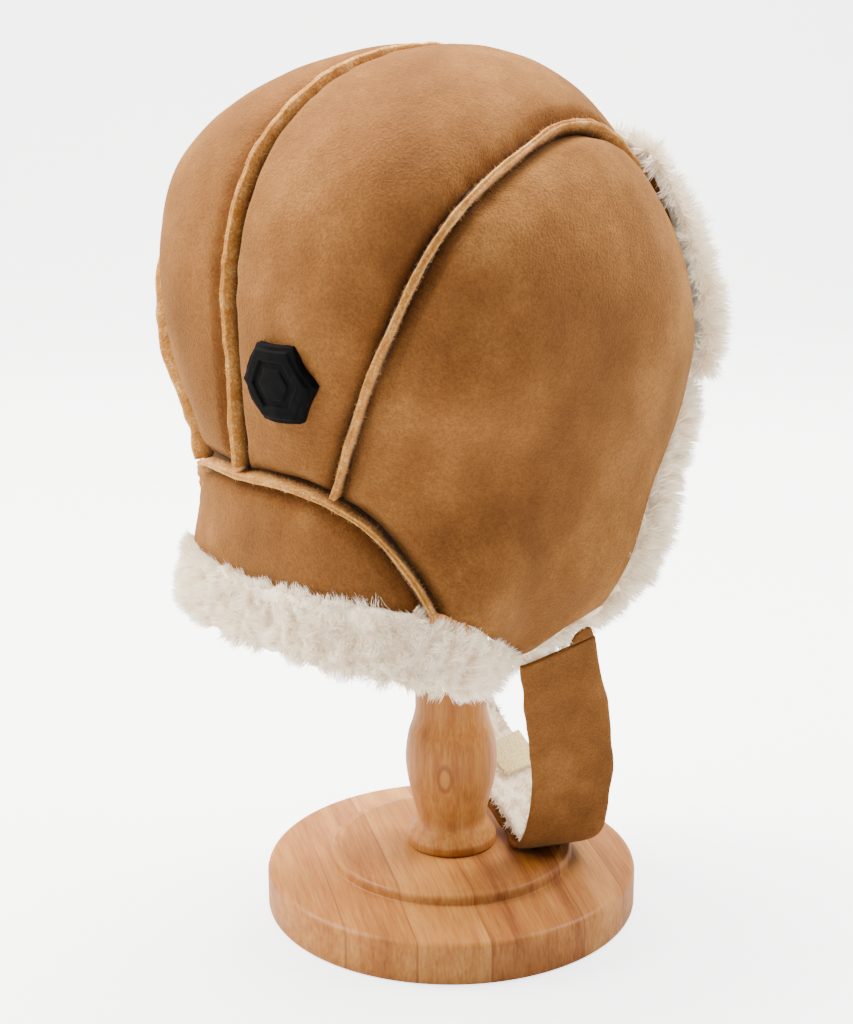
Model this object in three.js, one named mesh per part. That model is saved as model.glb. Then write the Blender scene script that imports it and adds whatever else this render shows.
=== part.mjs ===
// An earflap cap of double-face sheepskin on a turned wooden stand.
// Millimetres, +Z up. The origin is the middle of the stand's underside. The cap's face opening
// looks along -Y, so its nape is at +Y and the wearer's right is -X.
import * as THREE from 'three';

// The wooden stand.
const BASE_RADIUS = 75;
const BASE_EDGE = 17.5;
const BASE_ROUND = 3;
const RING_RISE = 2;
const STEP_RADIUS = 47;
const STEP_RISE = 5;
const BEAD = 2.2;
const POST_FOOT_RADIUS = 18.3;
const POST_WAIST_RADIUS = 14.2;
const POST_BULGE_RADIUS = 18.5;
const POST_NECK_RADIUS = 14.5;
const STAND_HEIGHT = 326;
const HEAD_RADIUS = 38;
const HEAD_HEIGHT = 30;
const HEAD_SEAT_DROP = 2.3;

// The cap's outer form, before the panels puff.
const CAP_HALF_WIDTH = 93.5;
const BACK_REACH = 100;
const FRONT_REACH = 82;
const CROWN_RISE = 105;
const SKIRT_DROP = 110;
const CROWN_LEAN = 8;

// The sheepskin and its seams.
const SUEDE = 2;
const FLEECE = 6.7;
const PUFF = 3;
const PUFF_SPAN = 30;
const WELT_WIDTH = 4.2;
const WELT_PROUD = 2.8;
const FIT = 0.3;
const LAYER_GAP = 0.6;

// The fleece rolls along the hems.
const NAPE_ROLL_DEEP = 26;
const NAPE_ROLL_END_DEEP = 16;
const NAPE_ROLL_THICK = 18;
const NAPE_ROLL_PROUD = 3;
const EDGE_ROLL_DEEP = 15;
const EDGE_ROLL_THICK = 16;
const FLAP_ROLL_THICK = 9;
const LOCK_RISE = 1.6;
const LOCK_PITCH = 12;

// The turned-up forehead flap.
const BRIM_FLEECE_LOW = 14;
const BRIM_FLEECE_TOP = 5.5;
const BRIM_LOCK = 1.4;

// The chin strap.
const STRAP_WIDTH = 34;
const STRAP_FLEECE = 4;
const STRAP_FLOOR_CLEAR = 1.2;
const TAB_LENGTH = 11;
const TAB_HEIGHT = 5;
const PATCH_LENGTH = 16;
const PATCH_WIDTH = 20;
const PATCH_THICK = 1.6;

// The badge.
const BADGE_WIDTH = 28;
const BADGE_HEIGHT = 34;
const BADGE_THICK = 3;
const BADGE_BEVEL = 0.8;

// Facets are flat, so a facet's middle lies this far inside the round form.
const FACET_SAG = 0.7;

const PLATEAU = BASE_EDGE + RING_RISE + STEP_RISE;
// The crown leans back, so it seats on the front of the dome and its top stays a little above it.
const WIDEST = STAND_HEIGHT + HEAD_SEAT_DROP + SUEDE + LAYER_GAP + FLEECE - CROWN_RISE;
const HEART = new THREE.Vector3(0, 0, WIDEST);
const SEAM_INSET = WELT_WIDTH / 2 + FIT + FACET_SAG;
const FLEECE_INSET = FIT / 2 + FACET_SAG;

// Below its widest level the cap narrows above the nape, fills again at the hem, and the flaps
// pinch in. drop is a share of SKIRT_DROP, the others are shares of the section they change.
const SKIRT = [
  { drop: 0.00, width: 1.000, back: 1.00, pinch: 0.00, square: 2.80 },
  { drop: 0.27, width: 0.910, back: 0.99, pinch: 0.01, square: 2.15 },
  { drop: 0.45, width: 0.880, back: 0.97, pinch: 0.04, square: 2.16 },
  { drop: 0.59, width: 0.915, back: 0.96, pinch: 0.09, square: 2.25 },
  { drop: 0.73, width: 0.955, back: 0.95, pinch: 0.18, square: 2.35 },
  { drop: 0.86, width: 0.960, back: 0.95, pinch: 0.28, square: 2.40 },
  { drop: 1.00, width: 0.960, back: 0.94, pinch: 0.38, square: 2.45 },
  { drop: 1.30, width: 0.960, back: 0.93, pinch: 0.60, square: 2.50 },
];
const CROWN = [
  { rise: 0.00, square: 2.80 },
  { rise: 0.30, square: 2.85 },
  { rise: 0.70, square: 3.20 },
  { rise: 1.00, square: 2.20 },
];
const WIDTH_POWER = 2.13;
const BACK_POWER = 2.23;
const FRONT_POWER = 2.15;
const FRONT_SQUARE = 2.03;
const PINCH_STARTS = 0.75;
const PINCH_FULL = 0.2;
const LOWEST_DROP = 1.3;
// Close under the apex the section closes, so any point there counts as well outside.
const APEX_RISE = 0.9999;
const WELL_OUTSIDE = 9;

// Seams and edges of the right half. side is a share of CAP_HALF_WIDTH towards the wearer's
// right, back a share of BACK_REACH, and up a share of CROWN_RISE or, when negative, SKIRT_DROP.
const CENTER_SEAM = [
  { side: 0, back: 0.99, up: -0.362 },
  { side: 0, back: 1.00, up: 0.00 },
  { side: 0, back: 0.95, up: 0.30 },
  { side: 0, back: 0.80, up: 0.62 },
  { side: 0, back: 0.45, up: 0.90 },
  { side: 0, back: 0.05, up: 1.00 },
  { side: 0, back: -0.35, up: 0.88 },
  { side: 0, back: -0.62, up: 0.58 },
  { side: 0, back: -0.78, up: 0.22 },
  { side: 0, back: -0.82, up: -0.10 },
];
const SIDE_SEAM = [
  { side: 0.424, back: 0.887, up: -0.408 },
  { side: 0.501, back: 0.876, up: -0.239 },
  { side: 0.620, back: 0.888, up: -0.054 },
  { side: 0.724, back: 0.847, up: 0.167 },
  { side: 0.793, back: 0.734, up: 0.406 },
  { side: 0.808, back: 0.600, up: 0.540 },
  { side: 0.781, back: 0.382, up: 0.659 },
  { side: 0.700, back: 0.080, up: 0.760 },
  { side: 0.640, back: -0.200, up: 0.740 },
  { side: 0.590, back: -0.450, up: 0.580 },
  { side: 0.540, back: -0.630, up: 0.330 },
  { side: 0.490, back: -0.720, up: 0.100 },
  { side: 0.460, back: -0.750, up: -0.100 },
];
const NAPE_SEAM = [
  { side: 0.000, back: 0.990, up: -0.362 },
  { side: 0.148, back: 0.983, up: -0.360 },
  { side: 0.318, back: 0.939, up: -0.376 },
  { side: 0.424, back: 0.887, up: -0.408 },
  { side: 0.512, back: 0.824, up: -0.458 },
  { side: 0.584, back: 0.771, up: -0.524 },
  { side: 0.660, back: 0.721, up: -0.615 },
  { side: 0.705, back: 0.691, up: -0.682 },
  { side: 0.735, back: 0.671, up: -0.742 },
];
const NAPE_HEM = [
  { side: 0.000, back: 0.960, up: -0.720 },
  { side: 0.242, back: 0.939, up: -0.714 },
  { side: 0.415, back: 0.888, up: -0.716 },
  { side: 0.590, back: 0.800, up: -0.724 },
  { side: 0.735, back: 0.671, up: -0.742 },
];
const FLAP_HEM = [
  { side: 0.735, back: 0.671, up: -0.742 },
  { side: 0.770, back: 0.543, up: -0.800 },
  { side: 0.710, back: 0.400, up: -0.880 },
  { side: 0.640, back: 0.270, up: -0.960 },
  { side: 0.595, back: 0.180, up: -1.005 },
  { side: 0.600, back: 0.110, up: -0.995 },
  { side: 0.630, back: 0.030, up: -0.950 },
  { side: 0.655, back: -0.070, up: -0.912 },
  { side: 0.665, back: -0.180, up: -0.880 },
];
const FACE_EDGE = [
  { side: 0.665, back: -0.180, up: -0.880 },
  { side: 0.740, back: -0.210, up: -0.760 },
  { side: 0.790, back: -0.240, up: -0.620 },
  { side: 0.785, back: -0.336, up: -0.450 },
  { side: 0.765, back: -0.430, up: -0.290 },
  { side: 0.730, back: -0.520, up: -0.175 },
  { side: 0.690, back: -0.580, up: -0.120 },
];
const BROW = [
  { side: 0.690, back: -0.580, up: -0.120 },
  { side: 0.580, back: -0.680, up: -0.106 },
  { side: 0.460, back: -0.750, up: -0.100 },
  { side: 0.250, back: -0.800, up: -0.100 },
  { side: 0.000, back: -0.820, up: -0.100 },
];
const BRIM_END = [
  { side: 0.690, back: -0.580, up: -0.120 },
  { side: 0.690, back: -0.540, up: 0.150 },
  { side: 0.660, back: -0.460, up: 0.400 },
  { side: 0.600, back: -0.360, up: 0.600 },
];
const BRIM_TOP = [
  { side: 0.600, back: -0.360, up: 0.600 },
  { side: 0.400, back: -0.480, up: 0.640 },
  { side: 0.200, back: -0.550, up: 0.650 },
  { side: 0.000, back: -0.580, up: 0.650 },
];
// Where along FLAP_HEM the nape roll ends and the edge roll starts, as a share of its length.
const ROLL_MEETS = 0.62;

// The strap's outer face along its middle line, from the right flap round to the left one.
// side and ahead are shares of CAP_HALF_WIDTH, down goes from 0 at the flap to 1 at the lowest
// point, and turn is the strap's twist about the upright in degrees.
const STRAP = [
  { side: 0.640, ahead: 0.020, down: 0.000, turn: 9 },
  { side: 0.625, ahead: 0.060, down: 0.160, turn: 14 },
  { side: 0.590, ahead: 0.130, down: 0.360, turn: 19 },
  { side: 0.540, ahead: 0.205, down: 0.580, turn: 22 },
  { side: 0.485, ahead: 0.245, down: 0.800, turn: 23 },
  { side: 0.445, ahead: 0.255, down: 0.920, turn: 23 },
  { side: 0.360, ahead: 0.280, down: 1.000, turn: 23 },
  { side: 0.220, ahead: 0.345, down: 1.000, turn: 22 },
  { side: 0.060, ahead: 0.405, down: 0.960, turn: 17 },
  { side: -0.130, ahead: 0.415, down: 0.880, turn: 8 },
  { side: -0.290, ahead: 0.395, down: 0.740, turn: 3 },
  { side: -0.390, ahead: 0.360, down: 0.560, turn: 0 },
  { side: -0.450, ahead: 0.300, down: 0.400, turn: -2 },
  { side: -0.550, ahead: 0.150, down: 0.180, turn: -6 },
  { side: -0.640, ahead: 0.020, down: 0.000, turn: -9 },
];
const STRAP_TOP_UP = -1.02;
const STRAP_SEWN = 0.1;
const PATCH_AT = 0.60;

// Colours, roughness.
const SUEDE_LOOK = { color: 0xae7446, roughness: 0.9 };
const WELT_LOOK = { color: 0xc8955a, roughness: 0.95 };
const FLEECE_LOOK = { color: 0xe4dccf, roughness: 1.0 };
const WOOD_LOOK = { color: 0xc59170, roughness: 0.5 };
const PATCH_LOOK = { color: 0xd7c6aa, roughness: 0.95 };
const RUBBER_LOOK = { color: 0x1c1c1e, roughness: 0.7 };

const clamp = THREE.MathUtils.clamp;
const lerp = THREE.MathUtils.lerp;

// A smooth reading of one column of a table at any place along its first column.
function column(table, along, name, at) {
  let i = 0;
  while (i < table.length - 2 && table[i + 1][along] < at) {
    i += 1;
  }
  const slope = (k) => {
    const a = table[Math.max(k - 1, 0)];
    const b = table[Math.min(k + 1, table.length - 1)];
    return (b[name] - a[name]) / (b[along] - a[along]);
  };
  const span = table[i + 1][along] - table[i][along];
  const t = clamp((at - table[i][along]) / span, 0, 1);
  const t2 = t * t;
  const t3 = t2 * t;
  return (2 * t3 - 3 * t2 + 1) * table[i][name] + (t3 - 2 * t2 + t) * span * slope(i)
    + (3 * t2 - 2 * t3) * table[i + 1][name] + (t3 - t2) * span * slope(i + 1);
}

// 1 on the cap's form, less inside it and more outside.
function share(p) {
  const rise = clamp((p.z - WIDEST) / CROWN_RISE, 0, 1);
  const drop = clamp((WIDEST - p.z) / SKIRT_DROP, 0, LOWEST_DROP);
  if (rise > APEX_RISE) {
    return WELL_OUTSIDE;
  }
  const shrink = (power) => (1 - rise ** power) ** (1 / power);
  const y = p.y - CROWN_LEAN * Math.min(1, rise * 1.5);
  const back = y > 0;
  const pinchStart = PINCH_STARTS * BACK_REACH;
  const pinchFull = PINCH_FULL * BACK_REACH;
  const forward = clamp((pinchStart - y) / (pinchStart - pinchFull), 0, 1);
  const pinch = column(SKIRT, 'drop', 'pinch', drop) * forward * forward * (3 - 2 * forward);
  const wide = CAP_HALF_WIDTH * column(SKIRT, 'drop', 'width', drop) * (1 - pinch) * shrink(WIDTH_POWER);
  const reach = back ? BACK_REACH * column(SKIRT, 'drop', 'back', drop) * shrink(BACK_POWER)
    : FRONT_REACH * shrink(FRONT_POWER);
  const cornered = rise > 0 ? column(CROWN, 'rise', 'square', rise) : column(SKIRT, 'drop', 'square', drop);
  const square = back ? cornered : FRONT_SQUARE;
  return ((Math.abs(p.x) / wide) ** square + (Math.abs(y) / reach) ** square) ** (1 / square);
}

// The point of the form in the direction of p, seen from the heart of the cap.
const HALVINGS = 40;
function onForm(p) {
  const ray = p.clone().sub(HEART).normalize();
  let near = 0.2 * CAP_HALF_WIDTH;
  let far = 2 * (CAP_HALF_WIDTH + BACK_REACH);
  for (let step = 0; step < HALVINGS; step += 1) {
    const middle = (near + far) / 2;
    if (share(HEART.clone().addScaledVector(ray, middle)) < 1) {
      near = middle;
    } else {
      far = middle;
    }
  }
  return HEART.clone().addScaledVector(ray, near);
}

// The outward direction of the form at p, from two short steps along it.
const PROBE = 2;
function outward(p) {
  const ray = p.clone().sub(HEART).normalize();
  const helper = Math.abs(ray.z) < 0.8 ? new THREE.Vector3(0, 0, 1) : new THREE.Vector3(1, 0, 0);
  const a = new THREE.Vector3().crossVectors(helper, ray).normalize();
  const b = new THREE.Vector3().crossVectors(ray, a);
  const along = (d) => onForm(p.clone().addScaledVector(d, PROBE))
    .sub(onForm(p.clone().addScaledVector(d, -PROBE)));
  return new THREE.Vector3().crossVectors(along(a), along(b)).normalize();
}

const lift = (p, amount) => p.clone().addScaledVector(outward(p), amount);

function placeOf(row, hand) {
  const up = row.up > 0 ? row.up * CROWN_RISE : row.up * SKIRT_DROP;
  return new THREE.Vector3(-hand * row.side * CAP_HALF_WIDTH, row.back * BACK_REACH, WIDEST + up);
}

// Evenly spaced points of a smooth line on the form through a table's rows.
const LINE_STEPS = 120;
function lineOn(rows, hand) {
  const knots = rows.map((row) => onForm(placeOf(row, hand)));
  const curve = new THREE.CatmullRomCurve3(knots, false, 'centripetal');
  return even(curve.getPoints(LINE_STEPS).map(onForm), LINE_STEPS);
}

function even(points, steps) {
  const reach = [0];
  for (let i = 1; i < points.length; i += 1) {
    reach.push(reach[i - 1] + points[i].distanceTo(points[i - 1]));
  }
  const whole = reach[reach.length - 1];
  const out = [];
  let k = 0;
  for (let i = 0; i <= steps; i += 1) {
    const want = (whole * i) / steps;
    while (k < points.length - 2 && reach[k + 1] < want) {
      k += 1;
    }
    out.push(points[k].clone().lerp(points[k + 1], (want - reach[k]) / (reach[k + 1] - reach[k] || 1)));
  }
  return out;
}

const lengthOf = (line) => line.reduce((sum, p, i) => (i ? sum + p.distanceTo(line[i - 1]) : 0), 0);
const flipped = (line) => [...line].reverse();

function tangentAt(line, i) {
  const a = line[Math.max(i - 1, 0)];
  const b = line[Math.min(i + 1, line.length - 1)];
  return b.clone().sub(a).normalize();
}

// A line moved sideways on the form, towards its left seen from outside.
function moved(line, amount) {
  return line.map((p, i) => {
    const aside = new THREE.Vector3().crossVectors(outward(p), tangentAt(line, i)).normalize();
    return onForm(p.clone().addScaledVector(aside, amount));
  });
}

// The places on two lines, i and j, where they cross or come nearest.
function crossing(a, b) {
  let best = { gap: Infinity, i: 0, j: 0 };
  a.forEach((p, i) => b.forEach((q, j) => {
    const gap = p.distanceTo(q);
    if (gap < best.gap) {
      best = { gap, i, j };
    }
  }));
  return best;
}

// The part of a line between its crossings with two others, evenly spaced again.
function between(line, first, last, steps) {
  const from = crossing(line, first).i;
  const to = crossing(line, last).i;
  return even(line.slice(Math.min(from, to), Math.max(from, to) + 1), steps);
}

// A grid of points on the form inside four lines: low and high run along, start and end across.
function patch(low, high, start, end, cellsAlong, cellsAcross) {
  const a = between(low, start, end, cellsAlong);
  const b = between(high, start, end, cellsAlong);
  const s = between(start, low, high, cellsAcross);
  const e = between(end, low, high, cellsAcross);
  const grid = [];
  for (let i = 0; i <= cellsAlong; i += 1) {
    const u = i / cellsAlong;
    const row = [];
    for (let j = 0; j <= cellsAcross; j += 1) {
      const v = j / cellsAcross;
      const p = new THREE.Vector3()
        .addScaledVector(a[i], 1 - v).addScaledVector(b[i], v)
        .addScaledVector(s[j], 1 - u).addScaledVector(e[j], u)
        .addScaledVector(a[0], -(1 - u) * (1 - v)).addScaledVector(b[0], -(1 - u) * v)
        .addScaledVector(a[cellsAlong], -u * (1 - v)).addScaledVector(b[cellsAlong], -u * v);
      row.push(onForm(p));
    }
    grid.push(row);
  }
  return grid;
}

// The same grid with its rim pushed out towards the seams, for the fleece under them.
function widened(grid, by, rims) {
  const n = grid[0].length - 1;
  return grid.map((row, i) => row.map((p, j) => {
    const out = p.clone();
    const push = (inner) => out.addScaledVector(p.clone().sub(inner).normalize(), by);
    if (i === 0 && rims.start) push(grid[1][j]);
    if (j === 0 && rims.low) push(grid[i][1]);
    if (j === n && rims.high) push(grid[i][n - 1]);
    return onForm(out);
  }));
}

// Triangles of a closed body, turned outward if its volume comes out negative.
function bodyOf(points, faces) {
  let volume = 0;
  faces.forEach(([a, b, c]) => {
    volume += points[a].dot(new THREE.Vector3().crossVectors(points[b], points[c]));
  });
  const index = faces.flatMap(([a, b, c]) => (volume > 0 ? [a, b, c] : [a, c, b]));
  const geometry = new THREE.BufferGeometry();
  geometry.setAttribute('position', new THREE.Float32BufferAttribute(points.flatMap((p) => p.toArray()), 3));
  geometry.setIndex(index);
  geometry.computeVertexNormals();
  return geometry;
}

// A closed sheet between two grids of points.
function sheet(outer, inner) {
  const m = outer.length;
  const n = outer[0].length;
  const points = [...outer.flat(), ...inner.flat()];
  const at = (i, j, layer) => layer * m * n + i * n + j;
  const faces = [];
  const quad = (a, b, c, d) => faces.push([a, b, c], [a, c, d]);
  for (let i = 0; i < m - 1; i += 1) {
    for (let j = 0; j < n - 1; j += 1) {
      quad(at(i, j, 0), at(i + 1, j, 0), at(i + 1, j + 1, 0), at(i, j + 1, 0));
      quad(at(i, j, 1), at(i, j + 1, 1), at(i + 1, j + 1, 1), at(i + 1, j, 1));
    }
  }
  for (let i = 0; i < m - 1; i += 1) {
    quad(at(i, 0, 0), at(i, 0, 1), at(i + 1, 0, 1), at(i + 1, 0, 0));
    quad(at(i, n - 1, 0), at(i + 1, n - 1, 0), at(i + 1, n - 1, 1), at(i, n - 1, 1));
  }
  for (let j = 0; j < n - 1; j += 1) {
    quad(at(0, j, 0), at(0, j + 1, 0), at(0, j + 1, 1), at(0, j, 1));
    quad(at(m - 1, j, 0), at(m - 1, j, 1), at(m - 1, j + 1, 1), at(m - 1, j + 1, 0));
  }
  return bodyOf(points, faces);
}

// A closed bar through rings of points, with flat ends.
function bar(rings) {
  const n = rings[0].length;
  const points = rings.flat();
  const faces = [];
  for (let i = 0; i < rings.length - 1; i += 1) {
    for (let j = 0; j < n; j += 1) {
      const k = (j + 1) % n;
      faces.push([i * n + j, i * n + k, (i + 1) * n + k], [i * n + j, (i + 1) * n + k, (i + 1) * n + j]);
    }
  }
  const last = (rings.length - 1) * n;
  for (let j = 1; j < n - 1; j += 1) {
    faces.push([0, j + 1, j], [last, last + j, last + j + 1]);
  }
  return bodyOf(points, faces);
}

const RIGHT = 1;
const LEFT = -1;

// Seam and edge lines, for each hand. All run from the nape towards the brow or the hem.
const centerLine = lineOn(CENTER_SEAM, RIGHT);
const lines = {};
[RIGHT, LEFT].forEach((hand) => {
  lines[hand] = {
    side: lineOn(SIDE_SEAM, hand),
    nape: lineOn(NAPE_SEAM, hand),
    hem: lineOn(NAPE_HEM, hand),
    flap: lineOn(FLAP_HEM, hand),
    face: lineOn(FACE_EDGE, hand),
    brow: lineOn(BROW, hand),
    brimEnd: lineOn(BRIM_END, hand),
    brimTop: lineOn(BRIM_TOP, hand),
  };
});
const napeLine = [...flipped(lines[LEFT].nape), ...lines[RIGHT].nape.slice(1)];
const napeHemLine = [...flipped(lines[LEFT].hem), ...lines[RIGHT].hem.slice(1)];
const seams = [centerLine, lines[RIGHT].side, lines[LEFT].side, napeLine];

// How far a panel stands proud of the form: nothing at a seam, PUFF away from it.
function puffAt(p) {
  let nearest = Infinity;
  seams.forEach((line) => line.forEach((q) => {
    nearest = Math.min(nearest, p.distanceToSquared(q));
  }));
  const t = clamp(Math.sqrt(nearest) / PUFF_SPAN, 0, 1);
  return PUFF * (1 - (1 - t) * (1 - t));
}

const suedeOf = (grid) => sheet(
  grid.map((row) => row.map((p) => lift(p, puffAt(p)))),
  grid.map((row) => row.map((p) => lift(p, puffAt(p) - SUEDE))),
);
const fleeceOf = (grid) => sheet(
  grid.map((row) => row.map((p) => lift(p, puffAt(p) - SUEDE - LAYER_GAP))),
  grid.map((row) => row.map((p) => lift(p, -SUEDE - LAYER_GAP - FLEECE))),
);

const CROWN_CELLS = { along: 16, across: 6 };
const SIDE_CELLS = { along: 15, across: 10 };
const NAPE_CELLS = { along: 14, across: 4 };
const RIM_PUSH = SEAM_INSET - FLEECE_INSET;

function crownGrid(hand) {
  const { side, nape, brow } = lines[hand];
  const inner = moved(centerLine, -hand * SEAM_INSET);
  const outer = moved(side, hand * SEAM_INSET);
  const start = moved(nape, hand * SEAM_INSET);
  return patch(inner, outer, start, flipped(brow), CROWN_CELLS.along, CROWN_CELLS.across);
}

function sideGrid(hand) {
  const { side, nape, flap, face, brow } = lines[hand];
  const top = moved(side, -hand * SEAM_INSET);
  const start = moved(nape, hand * SEAM_INSET);
  const end = [...flipped(brow), ...flipped(face).slice(1)];
  return patch(top, flap, start, end, SIDE_CELLS.along, SIDE_CELLS.across);
}

// The nape panel is a half-moon, so it stops a little before its two corners.
const MOON_TRIM = 0.03;
function napeGrid() {
  const arc = moved(napeLine, -SEAM_INSET);
  const middle = LINE_STEPS;
  const a = crossing(arc.slice(0, middle + 1), napeHemLine);
  const b = crossing(arc.slice(middle), napeHemLine);
  const high = even(arc.slice(a.i, middle + b.i + 1), LINE_STEPS);
  const low = even(napeHemLine.slice(a.j, b.j + 1), LINE_STEPS);
  const grid = [];
  for (let i = 0; i <= NAPE_CELLS.along; i += 1) {
    const at = Math.round(LINE_STEPS * lerp(MOON_TRIM, 1 - MOON_TRIM, i / NAPE_CELLS.along));
    const row = [];
    for (let j = 0; j <= NAPE_CELLS.across; j += 1) {
      row.push(onForm(low[at].clone().lerp(high[at], j / NAPE_CELLS.across)));
    }
    grid.push(row);
  }
  return grid;
}

// A seam's standing edge, a narrow strip from under the suede to WELT_PROUD above the form.
const WELT_SHOULDER = 0.6;
const WELT_FLAT = 0.5;
function welt(line, startTrim, endTrim, steps) {
  const whole = lengthOf(line);
  const first = Math.round((LINE_STEPS * startTrim) / whole);
  const last = line.length - 1 - Math.round((LINE_STEPS * endTrim) / whole);
  const path = even(line.slice(first, last + 1), steps);
  const half = WELT_WIDTH / 2;
  const foot = -SUEDE + FIT + FACET_SAG;
  const shoulder = WELT_PROUD * WELT_SHOULDER;
  const flat = half * WELT_FLAT;
  const section = [[-half, foot], [half, foot], [half, shoulder], [flat, WELT_PROUD],
    [-flat, WELT_PROUD], [-half, shoulder]];
  return bar(path.map((p, i) => {
    const n = outward(p);
    const aside = new THREE.Vector3().crossVectors(n, tangentAt(path, i)).normalize();
    return section.map(([across, up]) => p.clone().addScaledVector(aside, across).addScaledVector(n, up));
  }));
}

// A roll of fleece beyond an edge. Its locks are ridges fused to the roll, staggered round it, and
// the side that meets the edge is flat, with a gap of the seat to it.
const ROLL_SIDES = 8;
const ROLL_END_SHARE = 0.72;
const ROLL_HEM_THIN = 0.3;
const HEM_SIDE = 0.6;
function roll(line, side, seat, deepAt, thickAt, proudAt) {
  const steps = Math.round((2 * lengthOf(line)) / LOCK_PITCH);
  const path = even(line, steps);
  return bar(path.map((p, i) => {
    const at = i / steps;
    const n = outward(p);
    const away = new THREE.Vector3().crossVectors(n, tangentAt(path, i)).normalize().multiplyScalar(side);
    const taper = Math.min(1, lerp(ROLL_END_SHARE, 1, Math.min(i, steps - i) / 2));
    const half = deepAt(at) / 2;
    const proud = proudAt(at);
    const centre = p.clone().addScaledVector(away, seat + half)
      .addScaledVector(n, proud);
    const ring = [];
    for (let k = 0; k < ROLL_SIDES; k += 1) {
      const angle = (2 * Math.PI * k) / ROLL_SIDES;
      const lock = (i + k) % 2 ? LOCK_RISE / 2 : -LOCK_RISE / 2;
      const nearHem = (1 - Math.cos(angle)) / 2;
      const slim = taper * (1 - ROLL_HEM_THIN * nearHem);
      const meetsHem = nearHem > HEM_SIDE;
      const across = meetsHem ? -half - Math.min(lock, 0) : (half + lock) * Math.cos(angle);
      const up = (thickAt(at) / 2 + lock) * Math.sin(angle) * slim - proud * nearHem;
      ring.push(centre.clone().addScaledVector(away, across).addScaledVector(n, up));
    }
    return ring;
  }));
}

// The forehead flap's grid, from its fold at the brow to its free top edge.
const BRIM_CELLS = { along: 16, across: 6 };
function brimGrid() {
  const right = lines[RIGHT];
  const left = lines[LEFT];
  const low = [...left.brow, ...flipped(right.brow).slice(1)];
  const high = [...left.brimTop, ...flipped(right.brimTop).slice(1)];
  return patch(low, high, left.brimEnd, right.brimEnd, BRIM_CELLS.along, BRIM_CELLS.across);
}

const BRIM_STAND = WELT_PROUD + FIT + FACET_SAG;
const BRIM_RIM_SHARE = 0.55;
function brimPair() {
  const grid = brimGrid();
  const layer = (height) => grid.map((row, i) => row.map((p, j) => lift(p, height(i, j))));
  const top = BRIM_STAND + SUEDE;
  const lock = (i, j) => ((i + j) % 2 ? BRIM_LOCK : -BRIM_LOCK);
  const deep = (j) => lerp(BRIM_FLEECE_LOW, BRIM_FLEECE_TOP, j / BRIM_CELLS.across);
  const atRim = (i, j) => i === 0 || j === 0 || i === BRIM_CELLS.along || j === BRIM_CELLS.across;
  const rim = (i, j) => (atRim(i, j) ? BRIM_RIM_SHARE : 1);
  return {
    suede: sheet(layer(() => top), layer(() => BRIM_STAND)),
    fur: sheet(layer((i, j) => top + FIT + deep(j) * rim(i, j) + lock(i, j)), layer(() => top + FIT)),
  };
}

// The strap's path, with its width direction and the direction its suede faces.
const STRAP_LOW = PLATEAU + STRAP_FLOOR_CLEAR;
const STRAP_STEPS = 56;
const strapTop = WIDEST + STRAP_TOP_UP * SKIRT_DROP;
function strapFrames() {
  const knots = STRAP.map((row) => new THREE.Vector3(
    -row.side * CAP_HALF_WIDTH,
    -row.ahead * CAP_HALF_WIDTH,
    lerp(strapTop, STRAP_LOW, row.down),
  ));
  const curve = new THREE.CatmullRomCurve3(knots, false, 'centripetal');
  curve.arcLengthDivisions = LINE_STEPS * 4;
  const path = curve.getSpacedPoints(STRAP_STEPS);
  return path.map((p, i) => {
    const place = curve.getUtoTmapping(i / STRAP_STEPS) * (STRAP.length - 1);
    const row = Math.min(Math.floor(place), STRAP.length - 2);
    const turn = THREE.MathUtils.degToRad(lerp(STRAP[row].turn, STRAP[row + 1].turn, place - row));
    const tangent = tangentAt(path, i);
    const wide = new THREE.Vector3(-Math.sin(turn), -Math.cos(turn), 0);
    wide.addScaledVector(tangent, -wide.dot(tangent)).normalize();
    const face = new THREE.Vector3().crossVectors(tangent, wide).normalize();
    return { p, wide, face, tangent };
  });
}

function strapLayer(frames, from, to, half, depthOut, depthIn) {
  const rings = frames.slice(from, to + 1).map(({ p, wide, face }) => [
    p.clone().addScaledVector(wide, -half).addScaledVector(face, -depthOut),
    p.clone().addScaledVector(wide, half).addScaledVector(face, -depthOut),
    p.clone().addScaledVector(wide, half).addScaledVector(face, -depthIn),
    p.clone().addScaledVector(wide, -half).addScaledVector(face, -depthIn),
  ]);
  return bar(rings);
}

// The badge, a long hexagon with a bevelled rim, laid on the puffed panel.
const BADGE_PLACE = { side: 0.335, back: 1.01, up: -0.015 };
function badge() {
  const middle = onForm(placeOf(BADGE_PLACE, RIGHT));
  const n = outward(middle);
  const across = new THREE.Vector3().crossVectors(new THREE.Vector3(0, 0, 1), n).normalize();
  const up = new THREE.Vector3().crossVectors(n, across);
  const outline = [[0, 1], [1, 0.45], [1, -0.45], [0, -1], [-1, -0.45], [-1, 0.45]];
  const ring = (scale, height) => outline.map(([x, y]) => {
    const p = onForm(middle.clone().addScaledVector(across, (x * scale * BADGE_WIDTH) / 2)
      .addScaledVector(up, (y * scale * BADGE_HEIGHT) / 2));
    return lift(p, puffAt(p) + height);
  });
  const under = FIT + FACET_SAG;
  const top = under + BADGE_THICK;
  return bar([ring(0.08, under), ring(0.5, under), ring(0.97, under), ring(1, under + BADGE_BEVEL / 2),
    ring(1, top - BADGE_BEVEL), ring(0.9, top), ring(0.45, top), ring(0.08, top)]);
}

function lathe(profile, segments) {
  const points = profile.map(([r, z]) => new THREE.Vector2(r, z));
  const geometry = new THREE.LatheGeometry(points, segments);
  geometry.rotateX(Math.PI / 2);
  geometry.deleteAttribute('uv');
  geometry.deleteAttribute('normal');
  return geometry;
}

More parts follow.
